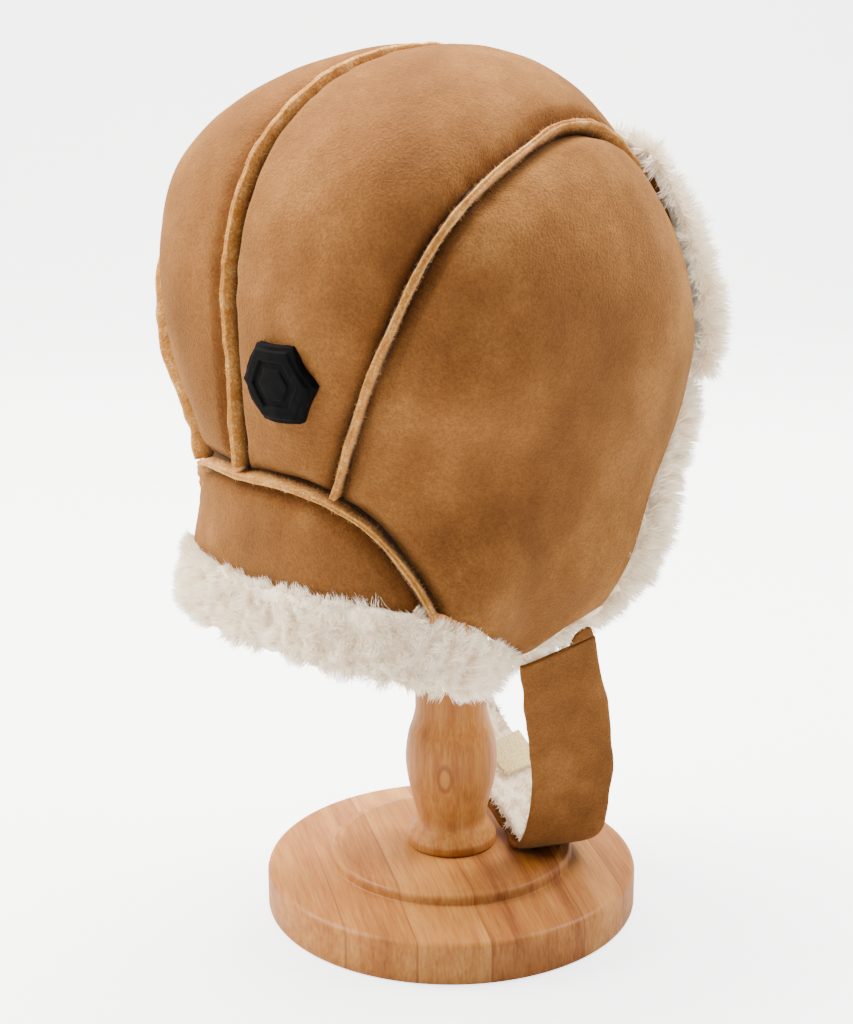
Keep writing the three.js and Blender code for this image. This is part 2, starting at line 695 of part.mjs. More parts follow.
// A quarter round from one profile point to the next.
function arc(cx, cz, radius, from, to, steps) {
  const out = [];
  for (let i = 0; i <= steps; i += 1) {
    const angle = THREE.MathUtils.degToRad(lerp(from, to, i / steps));
    out.push([cx + radius * Math.cos(angle), cz + radius * Math.sin(angle)]);
  }
  return out;
}

const ROUND_CELLS = 36;
function standBase() {
  const chamfer = BASE_ROUND / 3;
  return lathe([
    [0, 0],
    [BASE_RADIUS - chamfer, 0],
    [BASE_RADIUS, chamfer],
    ...arc(BASE_RADIUS - BASE_ROUND, BASE_EDGE - BASE_ROUND, BASE_ROUND, 0, 90, 3),
    [STEP_RADIUS + BEAD, BASE_EDGE + RING_RISE],
    ...arc(STEP_RADIUS, BASE_EDGE + RING_RISE + BEAD, BEAD, 0, 60, 2),
    [STEP_RADIUS - BEAD / 2, PLATEAU - BEAD / 4],
    [STEP_RADIUS - BEAD, PLATEAU],
    [0, PLATEAU],
  ], ROUND_CELLS);
}

// The post's outline. radius is a length from the names above, lift a share of VASE_HEIGHT.
const VASE_HEIGHT = 56;
const POST_OUTLINE = [
  { radius: POST_FOOT_RADIUS, lift: 0.00 },
  { radius: POST_FOOT_RADIUS, lift: 0.06 },
  { radius: lerp(POST_WAIST_RADIUS, POST_FOOT_RADIUS, 0.45), lift: 0.13 },
  { radius: POST_WAIST_RADIUS, lift: 0.20 },
  { radius: lerp(POST_WAIST_RADIUS, POST_BULGE_RADIUS, 0.35), lift: 0.34 },
  { radius: lerp(POST_WAIST_RADIUS, POST_BULGE_RADIUS, 0.80), lift: 0.50 },
  { radius: POST_BULGE_RADIUS, lift: 0.66 },
  { radius: lerp(POST_NECK_RADIUS, POST_BULGE_RADIUS, 0.75), lift: 0.82 },
  { radius: lerp(POST_NECK_RADIUS, POST_BULGE_RADIUS, 0.25), lift: 0.94 },
  { radius: POST_NECK_RADIUS, lift: 1.02 },
];
const HEAD_BOTTOM = STAND_HEIGHT - HEAD_HEIGHT;
function standPost() {
  const foot = PLATEAU + FIT;
  const rows = POST_OUTLINE.map((row) => [row.radius, foot + row.lift * VASE_HEIGHT]);
  return lathe([[0, foot], ...rows, [POST_NECK_RADIUS, HEAD_BOTTOM - FIT], [0, HEAD_BOTTOM - FIT]], 24);
}

function standHead() {
  const dome = [];
  const steps = 6;
  for (let i = 0; i <= steps; i += 1) {
    const angle = (Math.PI / 2) * (i / steps);
    dome.push([HEAD_RADIUS * Math.cos(angle), HEAD_BOTTOM + HEAD_HEIGHT * Math.sin(angle)]);
  }
  dome[steps][0] = 0;
  return lathe([[0, HEAD_BOTTOM], ...dome], 24);
}

const model = new THREE.Group();
function add(name, geometry, look) {
  const material = new THREE.MeshStandardMaterial({ color: look.color, roughness: look.roughness, metalness: 0 });
  const mesh = new THREE.Mesh(geometry, material);
  mesh.name = name;
  model.add(mesh);
}

add('stand_base', standBase(), WOOD_LOOK);
add('stand_post', standPost(), WOOD_LOOK);
add('stand_head', standHead(), WOOD_LOOK);

const hands = [{ hand: RIGHT, word: 'right' }, { hand: LEFT, word: 'left' }];
hands.forEach(({ hand, word }) => {
  const crown = crownGrid(hand);
  add(`crown_panel_${word}`, suedeOf(crown), SUEDE_LOOK);
  add(`crown_fleece_${word}`, fleeceOf(widened(crown, RIM_PUSH, { low: true, high: true, start: true })), FLEECE_LOOK);
  const side = sideGrid(hand);
  add(`side_panel_${word}`, suedeOf(side), SUEDE_LOOK);
  add(`side_fleece_${word}`, fleeceOf(widened(side, RIM_PUSH, { low: true, start: true })), FLEECE_LOOK);
});
const nape = napeGrid();
add('nape_panel', suedeOf(nape), SUEDE_LOOK);
add('nape_fleece', fleeceOf(widened(nape, RIM_PUSH, { high: true })), FLEECE_LOOK);

// The other welts start beside the nape welt, and all stop a little short of the hems.
const WELT_BUTT = WELT_WIDTH / 2 + FIT + 2 * FACET_SAG;
const WELT_SHORT = 1;
const NAPE_WELT_STEPS = 34;
const WELT_STEPS = 28;
add('nape_seam_welt', welt(napeLine, WELT_SHORT, WELT_SHORT, NAPE_WELT_STEPS), WELT_LOOK);
add('center_seam_welt', welt(centerLine, WELT_BUTT, FIT, WELT_STEPS), WELT_LOOK);
hands.forEach(({ hand, word }) => {
  add(`${word}_seam_welt`, welt(lines[hand].side, WELT_BUTT, FIT, WELT_STEPS), WELT_LOOK);
});

const meetAt = Math.round(LINE_STEPS * ROLL_MEETS);
const ROLLS_APART = 3;
const napeRollLine = [
  ...flipped(lines[LEFT].flap.slice(0, meetAt)),
  ...napeHemLine.slice(1, -1),
  ...lines[RIGHT].flap.slice(0, meetAt),
];
// Towards its two ends the nape roll gets narrower, as it runs on under the flaps.
const NARROWS_FROM = 0.22;
const napeDeep = (t) => {
  const full = THREE.MathUtils.smoothstep(Math.min(t, 1 - t), 0, NARROWS_FROM);
  return lerp(NAPE_ROLL_END_DEEP, NAPE_ROLL_DEEP, full);
};
const napeRoll = roll(napeRollLine, -1, LAYER_GAP, napeDeep, () => NAPE_ROLL_THICK, () => NAPE_ROLL_PROUD);
add('nape_fur_trim', napeRoll, FLEECE_LOOK);
// Under the flap the edge roll is thin and tucked in, and up the face edge it fills out.
const FILLS_FROM = 0.22;
const FILLED_AT = 0.42;
const filled = (t) => THREE.MathUtils.smoothstep(t, FILLS_FROM, FILLED_AT);
const edgeThick = (t) => lerp(FLAP_ROLL_THICK, EDGE_ROLL_THICK, filled(t));
const edgeProud = (t) => lerp(-FLAP_ROLL_THICK / 2 - LOCK_RISE, 0, filled(t));
hands.forEach(({ hand, word }) => {
  const { flap, face } = lines[hand];
  const line = [...flap.slice(meetAt + ROLLS_APART), ...face.slice(1)];
  const edgeRoll = roll(line, -hand, LAYER_GAP + FIT, () => EDGE_ROLL_DEEP, edgeThick, edgeProud);
  add(`${word}_edge_fur`, edgeRoll, FLEECE_LOOK);
});

const brim = brimPair();
add('front_brim', brim.suede, SUEDE_LOOK);
add('brim_fur', brim.fur, FLEECE_LOOK);

const frames = strapFrames();
const strapHalf = STRAP_WIDTH / 2;
const fleeceOut = SUEDE + FIT + FACET_SAG;
const fleeceIn = fleeceOut + STRAP_FLEECE;
add('chin_strap', strapLayer(frames, 0, STRAP_STEPS, strapHalf, 0, SUEDE), SUEDE_LOOK);
// The fleece side starts below the rolls under the flaps, where the strap is sewn flat.
const sewn = Math.round(STRAP_SEWN * STRAP_STEPS);
const strapFleece = strapLayer(frames, sewn, STRAP_STEPS - sewn, strapHalf, fleeceOut, fleeceIn);
add('strap_fleece', strapFleece, FLEECE_LOOK);

// The near flap's small tab, a suede corner above the front end of the strap's top edge.
function strapTab() {
  const { p, wide, face, tangent } = frames[0];
  const front = p.clone().addScaledVector(wide, strapHalf - TAB_LENGTH / 2 - 1).addScaledVector(tangent, -FIT);
  const corner = (across, up, depth) => front.clone().addScaledVector(wide, (across * TAB_LENGTH) / 2)
    .addScaledVector(tangent, -up * TAB_HEIGHT).addScaledVector(face, -depth);
  const ring = (depth) => [corner(-1, 0, depth), corner(1, 0, depth), corner(0.8, 0.8, depth),
    corner(0.3, 1, depth), corner(-0.4, 0.7, depth)];
  return bar([ring(FIT), ring(SUEDE)]);
}
add('strap_tab', strapTab(), SUEDE_LOOK);

// The closure patch lies on the fleece side, near the front edge of the strap's rising stretch.
function closurePatch() {
  const middle = Math.round(PATCH_AT * STRAP_STEPS);
  const spacing = frames[0].p.distanceTo(frames[1].p);
  const reach = Math.max(1, Math.round(PATCH_LENGTH / 2 / spacing));
  const seat = fleeceIn + LAYER_GAP;
  const rings = frames.slice(middle - reach, middle + reach + 1).map(({ p, wide, face }) => {
    const at = (across, depth) => p.clone().addScaledVector(wide, across).addScaledVector(face, -depth);
    const far = strapHalf - 1;
    return [at(far - PATCH_WIDTH, seat), at(far, seat), at(far, seat + PATCH_THICK),
      at(far - PATCH_WIDTH, seat + PATCH_THICK)];
  });
  return bar(rings);
}
add('closure_patch', closurePatch(), PATCH_LOOK);

add('badge', badge(), RUBBER_LOOK);

export default model;
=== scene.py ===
# %% [markdown]
# # An earflap cap on a wooden stand
# The cap is sewn from double-face sheepskin, which is suede outside and fleece inside. The packed
# model gives every piece its place and size, and this script gives each its real surface.

import math

import bmesh
import bpy
import numpy as np
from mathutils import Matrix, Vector, noise
from mathutils.bvhtree import BVHTree
from mathutils.kdtree import KDTree
from numpy.linalg import norm


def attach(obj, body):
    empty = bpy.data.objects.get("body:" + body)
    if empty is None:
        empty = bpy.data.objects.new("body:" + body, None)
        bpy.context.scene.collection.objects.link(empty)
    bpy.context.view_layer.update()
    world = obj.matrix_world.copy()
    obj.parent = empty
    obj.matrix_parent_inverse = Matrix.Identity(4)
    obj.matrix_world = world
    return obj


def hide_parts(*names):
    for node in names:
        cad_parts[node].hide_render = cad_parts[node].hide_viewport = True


MM = 0.001
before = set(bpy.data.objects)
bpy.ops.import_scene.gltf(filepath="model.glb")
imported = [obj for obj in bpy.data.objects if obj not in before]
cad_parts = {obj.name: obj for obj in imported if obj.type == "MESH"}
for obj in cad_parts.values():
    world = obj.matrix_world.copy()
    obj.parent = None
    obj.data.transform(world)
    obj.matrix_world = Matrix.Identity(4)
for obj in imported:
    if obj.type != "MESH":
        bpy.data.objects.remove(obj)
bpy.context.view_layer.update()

# %% [markdown]
# ## The camera
# The photograph looks from behind the cap's right side, a little from above. The numbers below put
# the stand's foot and post where the photograph has them. The picture's axis lies a little right
# of its middle, so the lens is shifted by that much.

# %% Camera
CAMERA_PLACE = Vector((-498.0, 432.9, 334.8)) * MM
CAMERA_HEADING = math.radians(49)
CAMERA_PITCH = math.radians(14.6)
FOCAL_PIXELS = 1748
AXIS_PIXEL = 451.3
PHOTO_WIDTH = 853
PHOTO_HEIGHT = 1024
SENSOR = 36

LOOK = Vector((
    math.sin(CAMERA_HEADING) * math.cos(CAMERA_PITCH),
    -math.cos(CAMERA_HEADING) * math.cos(CAMERA_PITCH),
    -math.sin(CAMERA_PITCH),
))


def linked(name, data):
    thing = bpy.data.objects.new(name, data)
    bpy.context.scene.collection.objects.link(thing)
    return thing


camera_data = bpy.data.cameras.new("camera")
camera_data.sensor_width = SENSOR
camera_data.lens = SENSOR * FOCAL_PIXELS / PHOTO_HEIGHT
camera_data.shift_x = (PHOTO_WIDTH / 2 - AXIS_PIXEL) / PHOTO_HEIGHT
camera = linked("camera", camera_data)
camera.location = CAMERA_PLACE
camera.rotation_euler = LOOK.to_track_quat("-Z", "Y").to_euler()
bpy.context.scene.camera = camera
print("camera lens:", round(camera_data.lens, 1), "mm")

# %% [markdown]
# ## Shader maths as expressions
# `Reading` wraps one output of a node, and each operator on it adds a Math node, so that a finish
# reads like maths. `Finish` makes one material, and its `add` makes a node from the node's type,
# its settings and what its sockets are fed.


# %% Finish helpers
def colour(red, green, blue):
    """A colour read off a photograph in 8-bit steps, as the linear values that a shader takes."""
    steps = [c / 255 for c in (red, green, blue)]
    linear = [s / 12.92 if s <= 0.04045 else ((s + 0.055) / 1.055) ** 2.4 for s in steps]
    return (*linear, 1.0)


def operator(operation, swapped=False):
    def apply(self, other):
        return self.maths(operation, *((other, self) if swapped else (self, other)))

    return apply


class Reading:
    """One output of a node, which can be used in sums."""

    __add__, __radd__ = operator("ADD"), operator("ADD", True)
    __sub__, __rsub__ = operator("SUBTRACT"), operator("SUBTRACT", True)
    __mul__, __rmul__ = operator("MULTIPLY"), operator("MULTIPLY", True)
    __truediv__, __pow__ = operator("DIVIDE"), operator("POWER")

    def __init__(self, finish, socket):
        self.finish = finish
        self.socket = socket

    def maths(self, operation, first, second):
        return self.finish.add("ShaderNodeMath", {"operation": operation}, {0: first, 1: second})


class Finish:
    """A material, with the fixed values of its Principled shader."""

    def __init__(self, name, specular, **fixed):
        self.material = bpy.data.materials.new(name)
        self.material.use_nodes = True
        self.tree = self.material.node_tree
        self.shader = self.tree.nodes["Principled BSDF"]
        for word, value in fixed.items():
            self.shader.inputs[word.replace("_", " ").title()].default_value = value
        self.shader.inputs["Specular IOR Level"].default_value = specular
        self.place = self.add("ShaderNodeTexCoord", {}, {}, "Object")

    def add(self, kind, settings, sockets, output=0):
        node = self.tree.nodes.new(kind)
        for name, value in settings.items():
            if name == "stops":
                self.fill_ramp(node.color_ramp, value)
            else:
                setattr(node, name, value)
        for name, value in sockets.items():
            self.feed(node.inputs[name], value)
        return Reading(self, node.outputs[output])

    def feed(self, socket, value):
        if isinstance(value, Reading):
            self.tree.links.new(value.socket, socket)
        else:
            socket.default_value = value

    def fill_ramp(self, ramp, stops):
        while len(ramp.elements) < len(stops):
            ramp.elements.new(0.5)
        for element, (at, shade) in zip(ramp.elements, stops):
            element.position = at
            element.color = shade

    def vector(self, operation, first, second, output=0):
        return self.add("ShaderNodeVectorMath", {"operation": operation}, {0: first, 1: second}, output)

    def attribute(self, name):
        return self.add("ShaderNodeAttribute", {"attribute_name": name}, {}, "Fac")

    def clouds(self, scale, detail=2.0, place=None, rough=0.5):
        sockets = {"Vector": place or self.place, "Scale": scale, "Detail": detail, "Roughness": rough}
        return self.add("ShaderNodeTexNoise", {}, sockets)

    def ramp(self, value, stops):
        return self.add("ShaderNodeValToRGB", {"stops": stops}, {"Fac": value})

    def band(self, value, low, high):
        """0 below low, 1 above high, and a smooth rise between them."""
        settings = {"interpolation_type": "SMOOTHSTEP"}
        sockets = {"Value": value, "From Min": low, "From Max": high}
        return self.add("ShaderNodeMapRange", settings, sockets)

    def mix(self, share, first, second, blend="MIX"):
        settings = {"data_type": "RGBA", "blend_type": blend}
        return self.add("ShaderNodeMix", settings, {0: share, 6: first, 7: second}, 2)

    def bump(self, height, distance, strength=1.0):
        sockets = {"Height": height, "Distance": distance, "Strength": strength}
        self.feed(self.shader.inputs["Normal"], self.add("ShaderNodeBump", {}, sockets))

    def paint(self, **readings):
        for word, reading in readings.items():
            self.feed(self.shader.inputs[word.replace("_", " ").title()], reading)


# %% [markdown]
# ## Suede
# Suede has no shine, but its nap catches light at a grazing angle, which is what sheen is for. Where
# a hand has brushed it another way it looks lighter or darker, in soft patches a few centimetres
# wide, and close up it is finely speckled.


# %% Suede finish
def suede_finish(name, dark, mid, light):
    suede = Finish(name, 0.1, roughness=0.95, sheen_weight=0.2, sheen_roughness=0.4,
                   sheen_tint=colour(228, 188, 122))
    patches = suede.clouds(22, 3.0)
    brushed = suede.clouds(90, 4.0, rough=0.6)
    speckle = suede.clouds(560, 3.0, rough=0.7)
    grains = suede.clouds(1100, 3.0, rough=0.7)
    # Painted shade: where a panel dives into a seam's valley, its colour is mixed towards the deep
    # brown.
    valley = suede.attribute("valley")
    tone = patches * 0.44 + brushed * 0.2 + grains * 0.2 + speckle * 0.16
    base = suede.ramp(tone, [(0.34, dark), (0.5, mid), (0.66, light)])
    # The deep brown serves both the fine flecks of the nap and the painted shade in the valleys.
    deep = suede.mix(0.55, dark, (0, 0, 0, 1))
    flecked = suede.mix(suede.band(grains, 0.42, 0.6) * 0.4, base, deep)
    suede.paint(base_color=suede.mix(valley * 0.85, flecked, deep))
    suede.bump(grains * 1.5 + speckle * 0.4 + brushed * 0.8, 0.5 * MM, 1.0)
    return suede.material


SUEDE = suede_finish("suede", colour(96, 58, 26), colour(125, 79, 37), colour(158, 109, 58))
print("suede made")

# %% [markdown]
# ## Seam edges
# The skins are sewn edge to edge with the raw edges outside. Such an edge shows the leather's light
# core and a little of the fleece, so it is golden tan with pale flecks.

# %% Welt finish
welt = Finish("seam edges", 0.15, roughness=0.95, sheen_weight=0.1)
core = welt.clouds(160, 3.0)
flecks = welt.clouds(1100, 3.0, rough=0.7)
edge_tone = core * 0.4 + flecks * 0.6
# Painted shade: the welt's lower flanks, deep in the valley, are mixed towards a dark brown.
welt_valley_shade = welt.attribute("valley")
edge_base = welt.ramp(edge_tone, [
    (0.3, colour(136, 85, 33)), (0.5, colour(180, 123, 57)), (0.7, colour(224, 180, 112))])
welt.paint(base_color=welt.mix(welt_valley_shade * 0.9, edge_base, colour(50, 26, 10)))
welt.bump(flecks + core * 0.6, 0.6 * MM, 0.7)
WELT = welt.material

# %% [markdown]
# ## Fleece
# Shorn sheepskin is cream white at the tips. An attribute runs from 0 at each strand's root to 1 at its
# tip, and the colour follows it: towards the skin it turns browner, which is painted shade, since less
# light gets down there. The skin below has the same colours in lumps. White wool also passes light on
# from strand to strand, more than the renderer follows, so a little glow stands in for it.


# %% Fleece finishes
PASSED_ON = 0.24


def fleece_finish(name, has_strands):
    fleece = Finish(name, 0.15, roughness=0.9, sheen_weight=0.4, sheen_roughness=0.5,
                    emission_strength=PASSED_ON)
    clumps = fleece.clouds(150, 3.0)
    if has_strands:
        # Painted shade: each strand darkens towards its root; the clumps vary the tone at random.
        depth = fleece.attribute("tip") ** 0.7 * 0.62 + clumps * 0.36
    else:
        depth = clumps * 0.6 + fleece.clouds(600, 3.0) * 0.3
        fleece.bump(clumps * 0.6 + fleece.clouds(700, 3.0) * 0.6, 2 * MM, 0.8)
    shades = fleece.ramp(depth, [
        (0.05, colour(160, 128, 92)), (0.35, colour(226, 207, 178)), (0.75, colour(253, 245, 229))])
    fleece.paint(base_color=shades, emission_color=shades)
    return fleece.material


FLEECE_SKIN = fleece_finish("fleece skin", False)
FLEECE = fleece_finish("fleece", True)

# %% [markdown]
# ## Wood
# The stand is glued up from strips of a pale hardwood and turned. On the foot the strips run
# slantwise, so `STRIP_HEADING` turns the pattern and every strip gets its own tone. Growth rings are
# noise stretched along the grain, and pores are short dark dashes. A satin lacquer covers it all.

# %% Wood finishes
STRIP_HEADING = math.radians(153)
FIRST_STRIP = 0.6
STRIPS = [(-54 * MM, 0.48), (-30 * MM, 0.66), (-3 * MM, 0.38), (36 * MM, 0.6), (58 * MM, 0.48)]
GLUE_LINE = 0.35 * MM
WOOD_PALE = colour(180, 124, 62)
WOOD_MID = colour(154, 96, 41)
WOOD_DARK = colour(120, 65, 26)


def wood_finish(name, turn, stretch, glued):
    wood = Finish(name, 0.2, roughness=0.55, coat_weight=0.06, coat_roughness=0.3)
    turned = wood.add("ShaderNodeMapping", {}, {"Vector": wood.place, "Rotation": turn})
    apart = wood.add("ShaderNodeSeparateXYZ", {}, {"Vector": turned}, "Y")
    strip = apart * 0 + FIRST_STRIP
    glue = apart * 0
    before = FIRST_STRIP
    for joint, strip_tone in STRIPS if glued else []:
        beyond = apart - joint
        strip = strip + beyond.maths("GREATER_THAN", beyond, 0.0) * (strip_tone - before)
        before = strip_tone
        off = beyond.maths("ABSOLUTE", beyond, 0.0)
        glue = glue + (1 - wood.band(off, GLUE_LINE * 0.4, GLUE_LINE * 1.6))
    chance = wood.add("ShaderNodeTexWhiteNoise", {"noise_dimensions": "1D"}, {"W": strip})
    sockets = {"X": chance * 0.7, "Y": chance * 0.9, "Z": chance * 0.4}
    shift = wood.add("ShaderNodeCombineXYZ", {}, sockets)
    moved = wood.vector("ADD", turned, shift)
    grain_place = wood.add("ShaderNodeMapping", {}, {"Vector": moved, "Scale": stretch})
    rings = wood.clouds(1.0, 4.0, grain_place, 0.55)
    fine = wood.clouds(7.0, 3.0, grain_place, 0.65)
    pores = wood.band(wood.clouds(14.0, 2.0, grain_place), 0.62, 0.72)
    tone = rings * 0.36 + fine * 0.3 + strip * 0.34
    base = wood.ramp(tone, [(0.38, WOOD_DARK), (0.5, WOOD_MID), (0.62, WOOD_PALE)])
    base = wood.mix(pores * 0.4, base, WOOD_DARK)
    return wood, base, glue, fine


FOOT_STRETCH = (9, 150, 40)
foot, foot_base, glue_lines, foot_fine = wood_finish(
    "foot wood", (0, 0, -STRIP_HEADING), FOOT_STRETCH, True)
foot.paint(base_color=foot.mix(glue_lines * 0.5, foot_base, colour(112, 58, 26)))
foot.bump(foot_fine - glue_lines * 0.6, 0.15 * MM, 0.4)
FOOT_WOOD = foot.material

# %% [markdown]
# The post has a small knot on the side that faces the camera: a pale oval with a brown ring round
# it. Its place is worked out from the picture, and the ring is the distance from it on the two
# directions that run across and up the post.

# %% Post finish with its knot
POST_STRETCH = (150, 150, 9)
KNOT_HEIGHT = 58.2 * MM
KNOT_ASIDE = Vector((-0.755, -0.656, 0))
KNOT_HALF_WIDTH = 2.6 * MM
KNOT_HALF_HEIGHT = 5.2 * MM
post, post_base, _, post_fine = wood_finish("post wood", (0, 0, 0.4), POST_STRETCH, False)
aside = post.vector("DOT_PRODUCT", post.place, KNOT_ASIDE, "Value")
up = post.add("ShaderNodeSeparateXYZ", {}, {"Vector": post.place}, "Z")
facing = post.vector("DOT_PRODUCT", post.place, -LOOK, "Value")
sideways = aside / KNOT_HALF_WIDTH
upwards = (up - KNOT_HEIGHT) / KNOT_HALF_HEIGHT
reach = (sideways * sideways + upwards * upwards) ** 0.5
ring = post.band(reach, 0.6, 0.95) * (1 - post.band(reach, 1.0, 1.45))
knot_side = post.band(facing, 0.0, 2 * MM)
heart_wood = (1 - post.band(reach, 0.5, 0.9)) * knot_side
with_heart = post.mix(heart_wood * 0.5, post_base, WOOD_PALE)
post.paint(base_color=post.mix(ring * knot_side * 0.6, with_heart, colour(118, 62, 28)))
post.bump(post_fine, 0.15 * MM, 0.3)
POST_WOOD = post.material

# %% [markdown]
# ## Rubber and closure loops
# The badge is moulded rubber, almost black and nearly without shine. The closure patch is the loop
# side of a hook-and-loop fastener, so it is beige, matt and finely tangled.

# %% Rubber and closure finishes
rubber = Finish("black rubber", 0.05, roughness=0.8)
rubber.paint(base_color=rubber.ramp(rubber.clouds(300), [
    (0.3, colour(3, 3, 4)), (0.7, colour(8, 8, 9))]))
rubber.bump(rubber.clouds(1800, 3.0), 0.1 * MM, 0.4)
RUBBER = rubber.material

closure = Finish("closure loops", 0.5, roughness=0.95, sheen_weight=0.3)
loops = closure.clouds(1500, 3.0, rough=0.7)
closure.paint(base_color=closure.ramp(loops, [
    (0.35, colour(190, 160, 104)), (0.6, colour(234, 212, 158))]))
closure.bump(loops, 0.6 * MM, 0.8)
CLOSURE = closure.material
print("finishes made:", len(bpy.data.materials))

# %% [markdown]
# ## Reading the frame's sheets
# Every panel of the frame is a thin closed sheet of loose triangles, laid out as a grid. `welded`
# joins them again, and `layer_grid` walks over one side and gives its points in rows and columns.
# `surface` reads that grid smoothly at any place, so a new piece can be as fine as it needs to be
# and still lie where the frame has it.

# %% Grid reading
HEART = Vector((0, 0, 233.2)) * MM
WELD = 0.01 * MM


def welded(node):
    mesh = bmesh.new()
    mesh.from_mesh(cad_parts[node].data)
    bmesh.ops.remove_doubles(mesh, verts=mesh.verts, dist=WELD)
    return mesh


def flat_groups(mesh, bend):
    """Groups of faces that no edge sharper than bend divides."""
    limit = math.radians(bend)
    left = dict.fromkeys(mesh.faces)
    groups = []
    while left:
        group = [left.popitem()[0]]
        for face in group:
            for edge in face.edges:
                for other in edge.link_faces:
                    if other in left and face.normal.angle(other.normal) < limit:
                        del left[other]
                        group.append(other)
        groups.append(group)
    return groups


def outward_area(group):
    ways = {face: (face.calc_center_median() - HEART).normalized() for face in group}
    return sum(face.calc_area() * face.normal.dot(way) for face, way in ways.items())


def layer_grid(node, facing=1, bend=60):
    mesh = welded(node)
    side = set(max(flat_groups(mesh, bend), key=lambda group: facing * outward_area(group)))
    faces_at = {}
    for face in side:
        for vert in face.verts:
            faces_at.setdefault(vert, []).append(face)
    near = {v: {w for f in faces for w in f.verts} - {v} for v, faces in faces_at.items()}
    rim = {}
    for edge in mesh.edges:
        if sum(f in side for f in edge.link_faces) == 1:
            a, b = edge.verts
            rim.setdefault(a, []).append(b)
            rim.setdefault(b, []).append(a)
    corners = {v for v in rim if len(faces_at[v]) < 3}
    start = min((v for v in corners if len(faces_at[v]) == 2), key=lambda v: v.index)

    def walk(second):
        line = [start, second]
        while line[-1] not in corners:
            line.append(next(v for v in rim[line[-1]] if v is not line[-2]))
        return line

    first_row, first_column = (walk(v) for v in sorted(rim[start], key=lambda v: v.index))
    grid = [first_row]
    placed = set(first_row) | set(first_column)
    for i in range(1, len(first_column)):
        row = [first_column[i]]
        for j in range(1, len(first_row)):
            found = (near[grid[i - 1][j]] & near[row[j - 1]]) - placed
            row.append(found.pop())
            placed.add(row[-1])
        grid.append(row)
    points = np.array([[v.co[:] for v in row] for row in grid])
    mesh.free()
    return points if len(points) >= len(points[0]) else points.swapaxes(0, 1)


def cubic(t):
    return np.stack([
        -0.5 * t + t ** 2 - 0.5 * t ** 3,
        1 - 2.5 * t ** 2 + 1.5 * t ** 3,
        0.5 * t + 2 * t ** 2 - 1.5 * t ** 3,
        -0.5 * t ** 2 + 0.5 * t ** 3,
    ])


def surface(grid, along, across):
    """The smooth surface through a grid, at places given as shares of its length and width."""
    rows, columns = grid.shape[:2]
    wide = np.concatenate([2 * grid[:1] - grid[1:2], grid, 2 * grid[-1:] - grid[-2:-1]])
    before, after = 2 * wide[:, :1] - wide[:, 1:2], 2 * wide[:, -1:] - wide[:, -2:-1]
    wide = np.concatenate([before, wide, after], axis=1)
    at_row = np.asarray(along) * (rows - 1)
    at_column = np.asarray(across) * (columns - 1)
    i = np.clip(np.floor(at_row).astype(int), 0, rows - 2)
    j = np.clip(np.floor(at_column).astype(int), 0, columns - 2)
    row_weights, column_weights = cubic(at_row - i), cubic(at_column - j)
    out = 0
    for a in range(4):
        for b in range(4):
            out = out + (row_weights[a] * column_weights[b])[:, None] * wide[i + a, j + b]
    return out


def unit(vectors):
    return vectors / np.maximum(norm(vectors, axis=-1, keepdims=True), 1e-9)


def surface_normals(grid, along, across):
    step = 0.004
    down = surface(grid, along + step, across) - surface(grid, along - step, across)
    aside = surface(grid, along, across + step) - surface(grid, along, across - step)
    normals = unit(np.cross(down, aside))
    outward = surface(grid, along, across) - np.array(HEART)
    return normals * np.sign((normals * outward).sum(axis=1).mean())


def smooth(t):
    t = np.clip(t, 0, 1)
    return t * t * (3 - 2 * t)


# %% [markdown]
# ## Seam lines
# Everything near a seam follows it: the panels dive under it and the raw edges stand up along it.
# The underside of each welt gives the line and the ways across and up, every half a millimetre,
# and a search tree finds the nearest place on any seam.

# %% Seam lines
WELT_NODES = ["center_seam_welt", "right_seam_welt", "left_seam_welt", "nape_seam_welt"]
FOOT_BELOW_FORM = 1 * MM
seam_lines = {}
for node in WELT_NODES:
    sole = layer_grid(node, facing=-1, bend=30)
    length = norm(np.diff(sole.mean(axis=1), axis=0), axis=1).sum()
    steps = int(length / (0.5 * MM))
    at = np.linspace(0, 1, steps + 1)
    middle = surface(sole, at, at * 0 + 0.5)
    tangent = unit(np.gradient(middle, axis=0))
    across = unit(surface(sole, at, at * 0 + 1) - surface(sole, at, at * 0))
    normal = unit(np.cross(tangent, across))
    normal *= np.sign((normal * (middle - np.array(HEART))).sum())
    seam_lines[node] = {"middle": middle + normal * FOOT_BELOW_FORM, "normal": normal,
                        "across": np.cross(normal, tangent), "length": length}
    print(node, "is", round(length / MM), "mm long")


def tree_of(points, indices=None):
    tree = KDTree(len(points))
    for index, point in zip(indices if indices is not None else range(len(points)), points):
        tree.insert(point, int(index))
    tree.balance()
    return tree


seam_points = np.concatenate([line["middle"] for line in seam_lines.values()])
seam_tree = tree_of(seam_points)

# %% [markdown]
# ## Sheepskin panels
# A panel is a grid laid over the frame's sheet. Near a seam it is pulled sideways under the raw
# edge and down into the valley, with small puckers where the thread draws it in, and a free edge
# curls in a little. Soft hills and hollows keep the wide parts from looking pressed. Beside the left
# seam the crown lies a little lower, so that the seam stands out on the outline. A Solidify modifier
# then gives the skin its 2 mm and a small Bevel rounds the cut edge.

# %% Panel making
SKIN = 2 * MM
CUT_EDGE = 0.5 * MM
RIM_TO_SEAM = 3.1 * MM
RIM_PULL = 0.9 * MM
DIVE = 3.8 * MM
DIVE_REACH = 6.5 * MM
# How far beyond the panel's rim the painted shade in a seam's valley reaches:
VALLEY_SHADE_WIDTH = 2.6 * MM
PUCKER = 0.9 * MM
PUCKER_PITCH = 6 * MM
CURL = 1.8 * MM
CURL_REACH = 6 * MM


